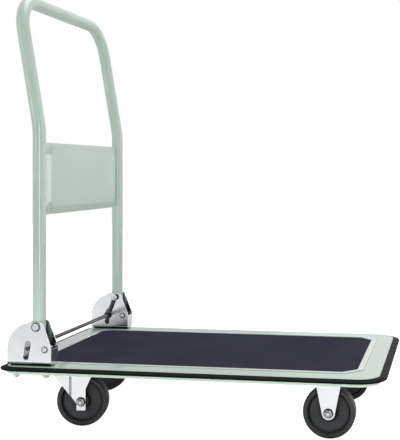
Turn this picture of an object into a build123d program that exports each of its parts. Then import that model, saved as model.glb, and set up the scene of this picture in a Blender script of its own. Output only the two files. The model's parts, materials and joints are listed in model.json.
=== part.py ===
from build123d import *
import os
from math import atan2, cos, degrees, hypot, radians, sin, sqrt, tan

# Folding platform trolley, in millimetres. The floor is z = 0, +X points to the front and the
# handle stands at the -X end. Left is +Y, as seen by the person who pushes.

# Wheels
WHEEL_R = 50.0
TYRE_WIDTH = 26.0
TYRE_DEPTH = 8.5
TYRE_SHOULDER_R = 4.0
RIM_WIDTH = 24.0
RIM_LIP = 0.8
RIM_DEPTH = 3.8
WEB_WIDTH = 13.0
HUB_R = 13.5
AXLE_R = 4.0
BUSH_WALL = 2.5

# Casters
CASTER_HEIGHT = 127.5
CASTER_INSIDE_TUBE = 62.5
REAR_SWIVEL_INSET = 93.0
FRONT_AXLE_INSET = 99.5
SWIVEL_TRAIL = 32.0
SWIVEL_REST_TURN = {"left": 180.0, "right": 9.5}
PLATE_LENGTH = 88.0
PLATE_WIDTH = 66.0
PLATE_THICK = 3.0
PLATE_CORNER_R = 8.0
STUD_PITCH_X = 72.0
STUD_PITCH_Y = 48.0
FORK_SHEET = 2.5
FORK_BEND_R = 4.0
FORK_GAP = 34.0
HUB_PLAY = 0.3
RACE_R = 28.0
RACE_HEIGHT = 3.5
BALL_RING_R = 21.0
BALL_R = 2.4
RACE_PLAY = 0.1
RACE_ROUND_SHARE = 0.7
RACE_GROOVE_SHARE = 0.6
LOWER_RACE_HEIGHT = 3.0
KINGPIN_R = 6.0
KINGPIN_HEAD_R = 11.0
KINGPIN_HEAD_HEIGHT = 4.0
CROWN_LEAD = 29.0
CROWN_TAIL_PAST_AXLE = 20.0
LEG_TAB_HALF = 9.0
LEG_TAB_DROP = 17.0
LEG_NECK_DROP = 3.0
LEG_WAIST_RISE = 25.0
LEG_SHOULDER_RISE = 49.0
LEG_CREASE_LEAD = 21.0
LEG_CREASE_WIDTH = 4.4
LEG_CREASE_DEPTH = 1.0
FIXED_LEG_TOP_HALF = 28.5
FIXED_LEG_END_R = 12.5

# Deck
DECK_LENGTH = 719.0
DECK_PAST_TUBE = 22.0
DECK_SHEET = 1.5
DECK_FRONT_CORNER_R = 42.0
DECK_REAR_CORNER_R = 24.0
DECK_EDGE_R = 3.0
SKIRT_HEIGHT = 15.0
LIP_RISE = 0.8
LIP_MARGIN = 14.0
LIP_SLOPE = 50.0
RECESS_DEPTH = 2.4
RECESS_SLOPE = 20.0
MAT_THICK = 2.6
MAT_GAP = 0.8
MAT_REAR_INSET = 44.5
MAT_FRONT_INSET = 47.5
MAT_SIDE_INSET = 52.5
MAT_CHAMFER = 25.0
MAT_REAR_R = 26.0
BUMPER_DEPTH = 13.0
BUMPER_DROP = 0.7
BUMPER_FLAT = 1.5
BUMPER_FALL = 3.4
BUMPER_NOSE = 3.2
BUMPER_ROUND = 1.2
RAIL_WIDTH = 24.0
RAIL_FLANGE = 4.0
RAIL_SHEET = 1.5
RAIL_INTO_CORNER = 10.0
CROSS_CHANNEL_X = (-95.0, 95.0)
CROSS_CHANNEL_WIDTH = 40.0
CROSS_CHANNEL_FLANGE = 10.0
CROSS_CHANNEL_DEPTH = 10.0
CROSS_CHANNEL_GAP = 3.0

# Handle
TUBE_R = 12.5
TUBE_WALL = 1.5
TUBE_SPACING = 411.0
PIVOT_SETBACK = 64.0
PIVOT_HEIGHT = 71.8
HANDLE_HEIGHT = 852.0
KINK_HEIGHT = 588.0
KINK_R = 180.0
LEAN_ANGLE = 9.7
TOP_BEND_R = 65.0
PANEL_FOOT = 419.0
PANEL_HEIGHT = 141.0
PANEL_SHEET = 1.5
PANEL_HEM = 4.0
PANEL_FIELD_END_MARGIN = 17.0
PANEL_FIELD_EDGE_MARGIN = 4.0
PANEL_FIELD_RISE = 7.0
PANEL_FIELD_CHAMFER = 18.0
PANEL_FIELD_SLOPE = 45.0

# Hinge brackets and lock
PAD_THICK = 3.0
PAD_INSET = 5.0
BRACKET_SHEET = 2.5
BRACKET_BEND_R = 5.0
BRACKET_PLAY = 0.5
BRACKET_BACK = 58.8
BRACKET_FRONT = 31.0
BRACKET_TOP = 9.5
BRACKET_TOP_FRONT = 12.5
BRACKET_SHOULDER_DROP = 37.5
BRACKET_BACK_R = 54.0
BRACKET_TOP_R = 6.0
BRACKET_WEB_HEIGHT = 30.0
BRACKET_BOLT_REAR = 46.5
BRACKET_BOLT_PITCH = 60.0
PIVOT_R = 4.0
PIVOT_BUSH_R = 6.0
PIVOT_HEAD_R = 7.0
PIVOT_HEAD_HEIGHT = 3.0
PIVOT_NECK = 7.0
STOP_AHEAD = 18.0
STOP_DROP = 42.7
STOP_RIVET_R = 3.0
STOP_HEAD_R = 4.75
STOP_HEAD_HEIGHT = 2.0
STOP_SLEEVE_R = 6.3
BAR_R = 4.0
BAR_BEHIND = 17.4
BAR_DROP = 42.0
BAR_TRAVEL = 17.0
BAR_SLOT_SPARE = 10.0
BAR_SLOT_LEAN = 9.5
BAR_SLOT_WIDTH = 10.6
BAR_CLIP_R = 7.0
BAR_CLIP_THICK = 1.8
BAR_CLIP_PLAY = 0.4
HEEL_PLAY = 0.6
SPRING_WIRE_R = 0.6
SPRING_COIL_R = 3.8
SPRING_PITCH = 2.2
SPRING_OFFSET = 5.0
SPRING_HOOK_PLAY = 0.3
SPRING_END_PLAY = 0.6

# Fasteners
BOLT_R = 4.0
BOLT_HOLE_PLAY = 0.2
HEX_FLATS = 13.0
NUT_HEIGHT = 6.5
HEAD_HEIGHT = 5.3
WASHER_R = 8.0
WASHER_THICK = 1.5
BOLT_END = 2.0
RUNNING_PLAY = 0.05
RIVET_DOME_SHARE = 0.8
LOW_DOME_SHARE = 0.6
CUT_PAST = 1.0

# Levels and stations worked out from the sizes above
FIELD_TOP = CASTER_HEIGHT + DECK_SHEET
BORDER_TOP = FIELD_TOP + RECESS_DEPTH
SKIRT_FOOT = BORDER_TOP - SKIRT_HEIGHT
BORDER_UNDERSIDE = BORDER_TOP - DECK_SHEET
RECESS_ANGLE = radians(RECESS_SLOPE)
DISH_GROW = MAT_GAP + DECK_SHEET * (1 / cos(RECESS_ANGLE) - tan(RECESS_ANGLE))
DECK_WIDTH = TUBE_SPACING + 2 * DECK_PAST_TUBE
DECK_REAR = -DECK_LENGTH / 2
DECK_FRONT = DECK_LENGTH / 2
PIVOT_X = DECK_REAR + PIVOT_SETBACK
BRACKET_FOOT = BORDER_TOP + PAD_THICK
PIVOT_Z = BRACKET_FOOT + PIVOT_HEIGHT
TUBE_Y = TUBE_SPACING / 2
BRACKET_INNER_HALF = TUBE_R + BRACKET_PLAY
BRACKET_HALF = BRACKET_INNER_HALF + BRACKET_SHEET
BRACKET_BOLT_X = PIVOT_X - BRACKET_BOLT_REAR
BAR_X = PIVOT_X - BAR_BEHIND
BAR_Z = PIVOT_Z - BAR_DROP
HEEL_R = hypot(BAR_BEHIND, BAR_DROP) - BAR_R - HEEL_PLAY
SWIVEL_X = DECK_REAR + REAR_SWIVEL_INSET
FRONT_AXLE_X = DECK_FRONT - FRONT_AXLE_INSET
CASTER_Y = TUBE_Y - CASTER_INSIDE_TUBE
PLATE_UNDERSIDE = CASTER_HEIGHT - PLATE_THICK
FORK_OUTER_HALF = FORK_GAP / 2 + FORK_SHEET
CROWN_TOP = PLATE_UNDERSIDE - RACE_HEIGHT - 2 * BALL_R - 2 * RACE_PLAY - LOWER_RACE_HEIGHT
SIDES = {"left": 1, "right": -1}


def cylinder_y(radius, y_from, y_to, x=0.0, z=0.0):
    """Cylinder along Y between two stations."""
    return Pos(x, (y_from + y_to) / 2, z) * Rot(90, 0, 0) * Cylinder(radius, abs(y_to - y_from))


def cylinder_z(radius, z_from, z_to, x=0.0, y=0.0):
    """Upright cylinder between two levels."""
    return Pos(x, y, (z_from + z_to) / 2) * Cylinder(radius, abs(z_to - z_from))


def block(x_from, x_to, y_from, y_to, z_from, z_to):
    """Box given by its limits."""
    centre = Pos((x_from + x_to) / 2, (y_from + y_to) / 2, (z_from + z_to) / 2)
    return centre * Box(abs(x_to - x_from), abs(y_to - y_from), abs(z_to - z_from))


def plate_xz(outline, y_from, y_to):
    """Plate whose outline is drawn in X and Z, between two Y stations."""
    return extrude(Plane.XZ.offset(-max(y_from, y_to)) * outline, abs(y_to - y_from))


def hexagon(flats):
    """Hexagon given by its size across flats."""
    return RegularPolygon(flats / sqrt(3), 6)


def hex_nut_z(x, y, z_from, z_to):
    """Upright hexagon nut without its thread."""
    body = Pos(x, y, min(z_from, z_to)) * extrude(hexagon(HEX_FLATS), abs(z_to - z_from))
    return body - cylinder_z(BOLT_R, z_from, z_to, x, y)


def washer_z(x, y, z_from):
    """Flat washer standing on a level."""
    ring = cylinder_z(WASHER_R, z_from, z_from + WASHER_THICK, x, y)
    return ring - cylinder_z(BOLT_R, z_from, z_from + WASHER_THICK, x, y)


# Deck: pressed pan, mat, edge bumper and the stiffeners under it


def field_outline(grow):
    """Outline of the mat, cut at the front corners and rounded at the rear ones, grown all round."""
    length = DECK_LENGTH - MAT_REAR_INSET - MAT_FRONT_INSET + 2 * grow
    width = DECK_WIDTH - 2 * MAT_SIDE_INSET + 2 * grow
    sheet = Pos((MAT_REAR_INSET - MAT_FRONT_INSET) / 2, 0) * Rectangle(length, width)
    corner_share = tan(radians(22.5))
    sheet = chamfer(sheet.vertices().group_by(Axis.X)[-1], MAT_CHAMFER + 2 * grow * (1 - corner_share) / 2)
    return fillet(sheet.vertices().group_by(Axis.X)[0], MAT_REAR_R + grow)


def deck_outline(grow):
    """Outline of the deck's skirt, grown all round."""
    sheet = Rectangle(DECK_LENGTH + 2 * grow, DECK_WIDTH + 2 * grow)
    sheet = fillet(sheet.vertices().group_by(Axis.X)[-1], DECK_FRONT_CORNER_R + grow)
    return fillet(sheet.vertices().group_by(Axis.X)[0], DECK_REAR_CORNER_R + grow)


def bracket_bolt_places():
    """Where the bracket bolts stand, two for each bracket."""
    stations = BRACKET_BOLT_X, BRACKET_BOLT_X + BRACKET_BOLT_PITCH
    return [(x, side * TUBE_Y) for side in SIDES.values() for x in stations]


def deck_pan():
    """Pressed sheet pan: flat border, a low lip round the recess for the mat, and a skirt turned down."""
    tray = Pos(0, 0, SKIRT_FOOT) * extrude(deck_outline(0), SKIRT_HEIGHT)
    tray = fillet(tray.faces().sort_by(Axis.Z)[-1].edges(), DECK_EDGE_R)
    lip = Pos(0, 0, BORDER_TOP) * extrude(field_outline(LIP_MARGIN), LIP_RISE, taper=LIP_SLOPE)
    hollow = Pos(0, 0, SKIRT_FOOT) * extrude(deck_outline(-DECK_SHEET), SKIRT_HEIGHT - DECK_SHEET)
    hollow = fillet(hollow.faces().sort_by(Axis.Z)[-1].edges(), DECK_EDGE_R - DECK_SHEET)
    dish_depth = BORDER_UNDERSIDE - CASTER_HEIGHT
    dish = Pos(0, 0, CASTER_HEIGHT) * extrude(field_outline(DISH_GROW), dish_depth, taper=-RECESS_SLOPE)
    recess = extrude(field_outline(MAT_GAP), RECESS_DEPTH + LIP_RISE, taper=-RECESS_SLOPE)
    pan = tray + lip - hollow + dish - Pos(0, 0, FIELD_TOP) * recess
    for x, y in bracket_bolt_places():
        pan -= cylinder_z(BOLT_R + BOLT_HOLE_PLAY, SKIRT_FOOT, BORDER_TOP, x, y)
    return pan


def deck_mat():
    """Rubber mat in the recess."""
    return Pos(0, 0, FIELD_TOP) * extrude(field_outline(0), MAT_THICK)


def edge_bumper():
    """Rubber strip round the skirt: flat beside the deck, then falling to a rounded nose."""
    height = BUMPER_NOSE + BUMPER_FALL
    slope = degrees(atan2(BUMPER_DEPTH - BUMPER_FLAT, BUMPER_FALL))
    crown = extrude(deck_outline(BUMPER_DEPTH), BUMPER_FALL, taper=slope)
    outer = extrude(deck_outline(BUMPER_DEPTH), BUMPER_NOSE) + Pos(0, 0, BUMPER_NOSE) * crown
    rims = outer.edges().filter_by(Plane.XY).group_by(Axis.Z)
    outer = fillet(rims[0] + rims[1], BUMPER_ROUND)
    return Pos(0, 0, BORDER_TOP - BUMPER_DROP - height) * (outer - extrude(deck_outline(0), height))


def hat_section(width, flange, depth, sheet):
    """Hat section hanging from its flanges at y = 0, drawn in the plane across its length."""
    outer = Pos(0, -depth / 2) * Rectangle(width, depth)
    inner = Pos(0, (sheet - depth) / 2) * Rectangle(width - 2 * sheet, depth - sheet)
    brim = Pos(0, -sheet / 2) * Rectangle(width + 2 * flange, sheet)
    return outer + brim - inner


def side_rail(side):
    """Hat rail along one side of the deck, under the hinge bracket."""
    section = hat_section(RAIL_WIDTH, RAIL_FLANGE, BORDER_UNDERSIDE - SKIRT_FOOT, RAIL_SHEET)
    rear = DECK_REAR + DECK_REAR_CORNER_R - RAIL_INTO_CORNER
    front = DECK_FRONT - DECK_FRONT_CORNER_R + RAIL_INTO_CORNER
    start = Plane.YZ.offset(rear) * Pos(side * TUBE_Y, BORDER_UNDERSIDE)
    rail = extrude(start * section, front - rear)
    for x, y in bracket_bolt_places():
        rail -= cylinder_z(BOLT_R + BOLT_HOLE_PLAY, SKIRT_FOOT, BORDER_TOP, x, y)
    return rail


def cross_channels():
    """Hat channels across the deck, between the side rails and clear of the casters."""
    section = hat_section(CROSS_CHANNEL_WIDTH, CROSS_CHANNEL_FLANGE, CROSS_CHANNEL_DEPTH, RAIL_SHEET)
    flat_half = DECK_WIDTH / 2 - MAT_SIDE_INSET + DISH_GROW
    reach = min(flat_half, TUBE_Y - RAIL_WIDTH / 2 - RAIL_FLANGE) - CROSS_CHANNEL_GAP
    start = Plane.XZ.offset(-reach) * Pos(0, CASTER_HEIGHT)
    channel = extrude(start * section, 2 * reach)
    return Compound([Pos(x, 0, 0) * channel for x in CROSS_CHANNEL_X])


# Hinge brackets, their rivets, and the lock bar with its springs


def cheek_outline():
    """Side view of a hinge bracket, from the pivot."""
    corners = [
        (-BRACKET_BACK, -PIVOT_HEIGHT),
        (-BRACKET_BACK, BRACKET_TOP),
        (BRACKET_TOP_FRONT, BRACKET_TOP),
        (BRACKET_FRONT, -BRACKET_SHOULDER_DROP),
        (BRACKET_FRONT, -PIVOT_HEIGHT),
    ]
    sheet = make_face(Polyline(*corners, close=True))
    top = sheet.vertices().group_by(Axis.Y)[-1].sort_by(Axis.X)
    sheet = fillet(top[0], BRACKET_BACK_R)
    front = sheet.vertices().group_by(Axis.Y)[-1].sort_by(Axis.X)[-1]
    return fillet(front, BRACKET_TOP_R)


def bar_slot():
    """Leaning slot that guides the lock bar, from the pivot, with spare length above the rest place."""
    length = BAR_TRAVEL + BAR_SLOT_SPARE
    middle = (BAR_TRAVEL - BAR_SLOT_SPARE) / 2
    lean = radians(BAR_SLOT_LEAN)
    centre = Pos(-BAR_BEHIND - middle * sin(lean), -BAR_DROP - middle * cos(lean))
    return centre * Rot(0, 0, 90 - BAR_SLOT_LEAN) * SlotCenterToCenter(length, BAR_SLOT_WIDTH)


def hinge_bracket(side):
    """Folded bracket: two cheeks, a base with rounded bends and a low front web."""
    mid = side * TUBE_Y
    height = PIVOT_HEIGHT + BRACKET_TOP
    outer = Rectangle(2 * BRACKET_HALF, height)
    outer = fillet(outer.vertices().group_by(Axis.Y)[0], BRACKET_BEND_R)
    inner = Pos(0, BRACKET_SHEET) * Rectangle(2 * BRACKET_INNER_HALF, height)
    inner = fillet(inner.vertices().group_by(Axis.Y)[0], BRACKET_BEND_R - BRACKET_SHEET)
    start = Plane.YZ.offset(PIVOT_X - BRACKET_BACK) * Pos(mid, BRACKET_FOOT + height / 2)
    channel = extrude(start * (outer - inner), BRACKET_BACK + BRACKET_FRONT)
    pivot = Pos(PIVOT_X, PIVOT_Z)
    bracket = channel & plate_xz(pivot * cheek_outline(), mid - BRACKET_HALF, mid + BRACKET_HALF)
    front = PIVOT_X + BRACKET_FRONT
    web_half = BRACKET_HALF - BRACKET_SHEET / 2
    web_foot = BRACKET_FOOT + BRACKET_SHEET / 2
    web_top = BRACKET_FOOT + BRACKET_WEB_HEIGHT
    bracket += block(front - BRACKET_SHEET, front, mid - web_half, mid + web_half, web_foot, web_top)
    reach = mid - BRACKET_HALF - CUT_PAST, mid + BRACKET_HALF + CUT_PAST
    bracket -= plate_xz(pivot * bar_slot(), *reach)
    bracket -= cylinder_y(PIVOT_R, *reach, PIVOT_X, PIVOT_Z)
    bracket -= cylinder_y(STOP_RIVET_R, *reach, PIVOT_X + STOP_AHEAD, PIVOT_Z - STOP_DROP)
    for x, y in bracket_bolt_places():
        bracket -= cylinder_z(BOLT_R + BOLT_HOLE_PLAY, BRACKET_FOOT, BRACKET_FOOT + BRACKET_SHEET, x, y)
    return bracket


def bracket_pad(side):
    """Thin pad between a bracket and the deck."""
    half = BRACKET_HALF - PAD_INSET
    ends = PIVOT_X - BRACKET_BACK + PAD_INSET, PIVOT_X + BRACKET_FRONT - PAD_INSET
    pad = block(*ends, side * TUBE_Y - half, side * TUBE_Y + half, BORDER_TOP, BRACKET_FOOT)
    for x, y in bracket_bolt_places():
        pad -= cylinder_z(BOLT_R + BOLT_HOLE_PLAY, BORDER_TOP, BRACKET_FOOT, x, y)
    return pad


def bracket_bolts():
    """Bolts that hold the brackets through the deck and the side rails, heads inside the brackets."""
    seat = BRACKET_FOOT + BRACKET_SHEET
    foot = SKIRT_FOOT - WASHER_THICK - NUT_HEIGHT - BOLT_END
    bolts = []
    for x, y in bracket_bolt_places():
        head = Pos(x, y, seat) * extrude(hexagon(HEX_FLATS), HEAD_HEIGHT)
        bolts.append(head + cylinder_z(BOLT_R, foot, seat, x, y))
    return Compound(bolts)


def bracket_nuts():
    """Nuts and washers of the bracket bolts, under the side rails."""
    washer_foot = SKIRT_FOOT - WASHER_THICK
    pieces = []
    for x, y in bracket_bolt_places():
        pieces.append(washer_z(x, y, washer_foot))
        pieces.append(hex_nut_z(x, y, washer_foot - NUT_HEIGHT, washer_foot))
    return Compound(pieces)


def pivot_rivet(side):
    """Hinge pin: domed head outside, and a neck with a head inside that holds the spring's hook."""
    outer_face = TUBE_Y + BRACKET_HALF
    inner_face = TUBE_Y - BRACKET_HALF
    neck_end = inner_face - PIVOT_NECK
    dome = cylinder_y(PIVOT_HEAD_R, outer_face, outer_face + PIVOT_HEAD_HEIGHT)
    rim = dome.edges().sort_by(Axis.Y)[-1]
    dome = fillet(rim, PIVOT_HEAD_HEIGHT * RIVET_DOME_SHARE)
    shank = cylinder_y(PIVOT_R, neck_end, outer_face)
    inner_head = cylinder_y(PIVOT_HEAD_R, neck_end - PIVOT_HEAD_HEIGHT, neck_end)
    rim = inner_head.edges().sort_by(Axis.Y)[0]
    inner_head = fillet(rim, PIVOT_HEAD_HEIGHT * RIVET_DOME_SHARE)
    pin = dome + shank + inner_head
    if side < 0:
        pin = mirror(pin, Plane.XZ)
    return Pos(PIVOT_X, 0, PIVOT_Z) * pin


def stop_rivets():
    """Rivets in front of the tubes, with a low head on each cheek."""
    rivets = []
    for side in SIDES.values():
        mid = side * TUBE_Y
        pin = cylinder_y(STOP_RIVET_R, mid - BRACKET_HALF, mid + BRACKET_HALF)
        for face in (-1, 1):
            near = mid + face * BRACKET_HALF
            head = cylinder_y(STOP_HEAD_R, near, near + face * STOP_HEAD_HEIGHT)
            rim = head.edges().sort_by(Axis.Y)[-1 if face > 0 else 0]
            pin += fillet(rim, STOP_HEAD_HEIGHT * LOW_DOME_SHARE)
        rivets.append(Pos(PIVOT_X + STOP_AHEAD, 0, PIVOT_Z - STOP_DROP) * pin)
    return Compound(rivets)


def stop_sleeves():
    """Spacer sleeves on the stop rivets, which the tubes lean against."""
    sleeves = []
    for side in SIDES.values():
        mid = side * TUBE_Y
        ends = mid - BRACKET_INNER_HALF, mid + BRACKET_INNER_HALF
        sleeve = cylinder_y(STOP_SLEEVE_R, *ends) - cylinder_y(STOP_RIVET_R, *ends)
        sleeves.append(Pos(PIVOT_X + STOP_AHEAD, 0, PIVOT_Z - STOP_DROP) * sleeve)
    return Compound(sleeves)


def lock_bar():
    """Round bar across both brackets, behind the tubes; a foot presses it down."""
    half = TUBE_Y + BRACKET_HALF
    bar = cylinder_y(BAR_R, -half, half, BAR_X, BAR_Z)
    return chamfer(bar.edges().filter_by(GeomType.CIRCLE), BAR_R / 5)


def bar_clips():
    """Push-on washers that keep the bar from sliding sideways, inside the inner cheeks."""
    clips = []
    face = TUBE_Y - BRACKET_HALF - BAR_CLIP_PLAY
    for side in SIDES.values():
        ends = side * face, side * (face - BAR_CLIP_THICK)
        clip = cylinder_y(BAR_CLIP_R, *ends, BAR_X, BAR_Z)
        clips.append(clip - cylinder_y(BAR_R, *ends, BAR_X, BAR_Z))
    return Compound(clips)


def lock_spring(side):
    """Close-wound tension spring from the pivot pin to the lock bar, its coils as a ridged sleeve."""
    span = hypot(BAR_BEHIND, BAR_DROP)
    hook_r = max(BAR_R, PIVOT_R) + SPRING_HOOK_PLAY + SPRING_WIRE_R
    coil_foot = BAR_CLIP_R + SPRING_END_PLAY
    coil_top = span - PIVOT_HEAD_R - SPRING_END_PLAY
    coils = int((coil_top - coil_foot) / SPRING_PITCH)
    pitch = (coil_top - coil_foot) / coils
    valley = SPRING_COIL_R - SPRING_WIRE_R
    ridge = [(SPRING_COIL_R - 2 * SPRING_WIRE_R, coil_foot)]
    for turn in range(coils):
        ridge.append((valley, coil_foot + turn * pitch))
        ridge.append((SPRING_COIL_R, coil_foot + (turn + 0.5) * pitch))
    ridge.append((valley, coil_top))
    ridge.append((SPRING_COIL_R - 2 * SPRING_WIRE_R, coil_top))
    profile = make_face(Plane.XZ * Polyline(*ridge, close=True))
    spring = revolve(profile, Axis.Z, 360)
    for centre, inward in ((0.0, 1), (span, -1)):
        ring = Pos(0, 0, centre) * Rot(90, 0, 0) * Torus(hook_r, SPRING_WIRE_R)
        coil_end = coil_foot if inward > 0 else coil_top
        cap_back = coil_end + inward * 2 * SPRING_WIRE_R
        stem = cylinder_z(SPRING_WIRE_R, centre + inward * hook_r, cap_back)
        cap = cylinder_z(SPRING_COIL_R - 1.5 * SPRING_WIRE_R, coil_end, cap_back)
        spring = spring + ring + stem + cap
    tilt = degrees(atan2(BAR_BEHIND, BAR_DROP))
    level = side * (TUBE_Y - BRACKET_HALF - SPRING_OFFSET)
    return Pos(BAR_X, level, BAR_Z) * Rot(0, tilt, 0) * spring


# Handle


def handle_route(side_drop):
    """Corner points of the bent tube's centre line, from heel to heel."""
    top = HANDLE_HEIGHT - TUBE_R
    lean = (top - KINK_HEIGHT) * tan(radians(LEAN_ANGLE))
    half = [(PIVOT_X, PIVOT_Z - side_drop), (PIVOT_X, KINK_HEIGHT), (PIVOT_X - lean, top)]
    left = [(x, TUBE_Y, z) for x, z in half]
    right = [(x, -TUBE_Y, z) for x, z in reversed(half)]
    return left + right


def handle_tube():
    """One bent tube: two uprights that lean back above the kink, and the push bar."""
    start_drop = HEEL_R + TUBE_R
    route = handle_route(start_drop)
    path = FilletPolyline(*route, radius=[KINK_R, TOP_BEND_R, TOP_BEND_R, KINK_R])
    start = Plane(origin=route[0], z_dir=(0, 0, 1))
    tube = sweep(start * Circle(TUBE_R), path=path) - sweep(start * Circle(TUBE_R - TUBE_WALL), path=path)
    reach = TUBE_Y + 2 * TUBE_R
    heel_waste = block(-2 * TUBE_R, 2 * TUBE_R, -reach, reach, -2 * start_drop, -HEEL_R / 2)
    heel_waste -= cylinder_y(HEEL_R, -reach, reach)
    tube -= Pos(PIVOT_X, 0, PIVOT_Z) * heel_waste
    return tube - cylinder_y(PIVOT_BUSH_R, -reach, reach, PIVOT_X, PIVOT_Z)


def panel_outline(shrink, rise_height):
    """Raised field of the cross panel, drawn in Y and Z about the panel's middle."""
    width = 2 * (TUBE_Y - TUBE_R - PANEL_FIELD_END_MARGIN - shrink)
    sheet = Rectangle(width, PANEL_HEIGHT - 2 * PANEL_FIELD_EDGE_MARGIN - 2 * shrink)
    sheet = chamfer(sheet.vertices(), PANEL_FIELD_CHAMFER)
    return extrude(sheet, rise_height, taper=PANEL_FIELD_SLOPE)


def handle_panel():
    """Pressed cross panel between the uprights, with hemmed edges and a raised field to the front."""
    half = TUBE_Y - TUBE_R / 2
    middle = PANEL_FOOT + PANEL_HEIGHT / 2
    back = PIVOT_X - PANEL_SHEET / 2
    front = PIVOT_X + PANEL_SHEET / 2
    head = PANEL_FOOT + PANEL_HEIGHT
    panel = block(back, front, -half, half, PANEL_FOOT, head)
    for hem_foot in (PANEL_FOOT, head - PANEL_HEM):
        panel += block(back - PANEL_SHEET, back, -half, half, hem_foot, hem_foot + PANEL_HEM)
    panel += Plane.YZ.offset(front) * Pos(0, middle) * panel_outline(0, PANEL_FIELD_RISE)
    hollow = panel_outline(PANEL_SHEET, PANEL_FIELD_RISE)
    panel -= Plane.YZ.offset(front - PANEL_SHEET) * Pos(0, middle) * hollow
    for side in SIDES.values():
        panel -= cylinder_z(TUBE_R, PANEL_FOOT - CUT_PAST, head + CUT_PAST, PIVOT_X, side * TUBE_Y)
    return panel


def pivot_bushes():
    """Sleeves across the tube ends, which turn on the hinge pins."""
    bushes = []
    for side in SIDES.values():
        mid = side * TUBE_Y
        ends = mid - BRACKET_INNER_HALF + BRACKET_PLAY / 2, mid + BRACKET_INNER_HALF - BRACKET_PLAY / 2
        bush = cylinder_y(PIVOT_BUSH_R, *ends) - cylinder_y(PIVOT_R + RUNNING_PLAY, *ends)
        bushes.append(Pos(PIVOT_X, 0, PIVOT_Z) * bush)
    return Compound(bushes)


# Casters: plates, forks and axles, drawn with the swivel axis or the axle's middle at x = y = 0


def stud_places():
    """Stud places on a caster plate, from its middle."""
    return [(sx * STUD_PITCH_X / 2, sy * STUD_PITCH_Y / 2) for sx in (-1, 1) for sy in (-1, 1)]


def caster_places():
    """Middle of each caster plate."""
    return [(x, side * CASTER_Y) for x in (SWIVEL_X, FRONT_AXLE_X) for side in SIDES.values()]


def mounting_plate():
    """Rounded plate with a hole for each stud."""
    sheet = RectangleRounded(PLATE_LENGTH, PLATE_WIDTH, PLATE_CORNER_R)
    plate = Pos(0, 0, PLATE_UNDERSIDE) * extrude(sheet, PLATE_THICK)
    for x, y in stud_places():
        plate -= cylinder_z(BOLT_R + BOLT_HOLE_PLAY, PLATE_UNDERSIDE, CASTER_HEIGHT, x, y)
    return plate


def caster_studs():
    """Studs welded under the deck."""
    foot = PLATE_UNDERSIDE - WASHER_THICK - NUT_HEIGHT - BOLT_END / 2
    stud = cylinder_z(BOLT_R, foot, CASTER_HEIGHT)
    return Compound([Pos(px + x, py + y, 0) * stud for px, py in caster_places() for x, y in stud_places()])


def caster_nuts():
    """Nuts and washers that clamp the caster plates."""
    washer_foot = PLATE_UNDERSIDE - WASHER_THICK
    pieces = []
    for px, py in caster_places():
        for x, y in stud_places():
            pieces.append(washer_z(px + x, py + y, washer_foot))
            pieces.append(hex_nut_z(px + x, py + y, washer_foot - NUT_HEIGHT, washer_foot))
    return Compound(pieces)


def swivel_plate():
    """Mounting plate with the upper ball race pressed into it."""
    race_foot = PLATE_UNDERSIDE - RACE_HEIGHT
    race = cylinder_z(RACE_R, race_foot, PLATE_UNDERSIDE)
    race = fillet(race.edges().sort_by(Axis.Z)[0], RACE_HEIGHT * RACE_ROUND_SHARE)
    plate = mounting_plate() + race
    plate -= Pos(0, 0, race_foot - RACE_PLAY) * Torus(BALL_RING_R, BALL_R * RACE_GROOVE_SHARE)
    return plate - cylinder_z(KINGPIN_R, race_foot, CASTER_HEIGHT)


def kingpin():
    """Swivel pin staked in the mounting plate, its head under the fork's crown."""
    crown_foot = CROWN_TOP - FORK_SHEET
    head_top = crown_foot - RACE_PLAY
    head = cylinder_z(KINGPIN_HEAD_R, head_top - KINGPIN_HEAD_HEIGHT, head_top)
    head = fillet(head.edges().sort_by(Axis.Z)[0], KINGPIN_HEAD_HEIGHT / 2)
    return head + cylinder_z(KINGPIN_R, head_top, CASTER_HEIGHT)


def ball_ring():
    """Balls and their cage, as the ring that they fill between the two races."""
    level = PLATE_UNDERSIDE - RACE_HEIGHT - RACE_PLAY - BALL_R
    ring = cylinder_z(BALL_RING_R + BALL_R, level - BALL_R, level + BALL_R)
    ring -= cylinder_z(BALL_RING_R - BALL_R, level - BALL_R, level + BALL_R)
    return chamfer(ring.edges().filter_by(GeomType.CIRCLE), BALL_R / 3)


def swivel_leg_outline():
    """Side view of a swivel fork's leg, raked from the crown back to the axle."""
    axle = SWIVEL_TRAIL
    tail = axle + CROWN_TAIL_PAST_AXLE
    crown_foot = CROWN_TOP - FORK_SHEET
    corners = [
        (-CROWN_LEAD, CROWN_TOP),
        (tail, CROWN_TOP),
        (tail, WHEEL_R + LEG_SHOULDER_RISE),
        (axle + LEG_TAB_HALF, WHEEL_R + LEG_WAIST_RISE),
        (axle + LEG_TAB_HALF, WHEEL_R - LEG_TAB_DROP),
        (axle - LEG_TAB_HALF, WHEEL_R - LEG_TAB_DROP),
        (axle - LEG_TAB_HALF, WHEEL_R - LEG_NECK_DROP),
        (-CROWN_LEAD, crown_foot),
    ]
    sheet = make_face(Polyline(*corners, close=True))
    low = sheet.vertices().group_by(Axis.Y)[0]
    sheet = fillet(low, LEG_TAB_HALF / 4)
    waist = [v for v in sheet.vertices() if abs(v.Y - WHEEL_R - LEG_WAIST_RISE) < 0.01]
    return fillet(waist, LEG_TAB_HALF)


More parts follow.
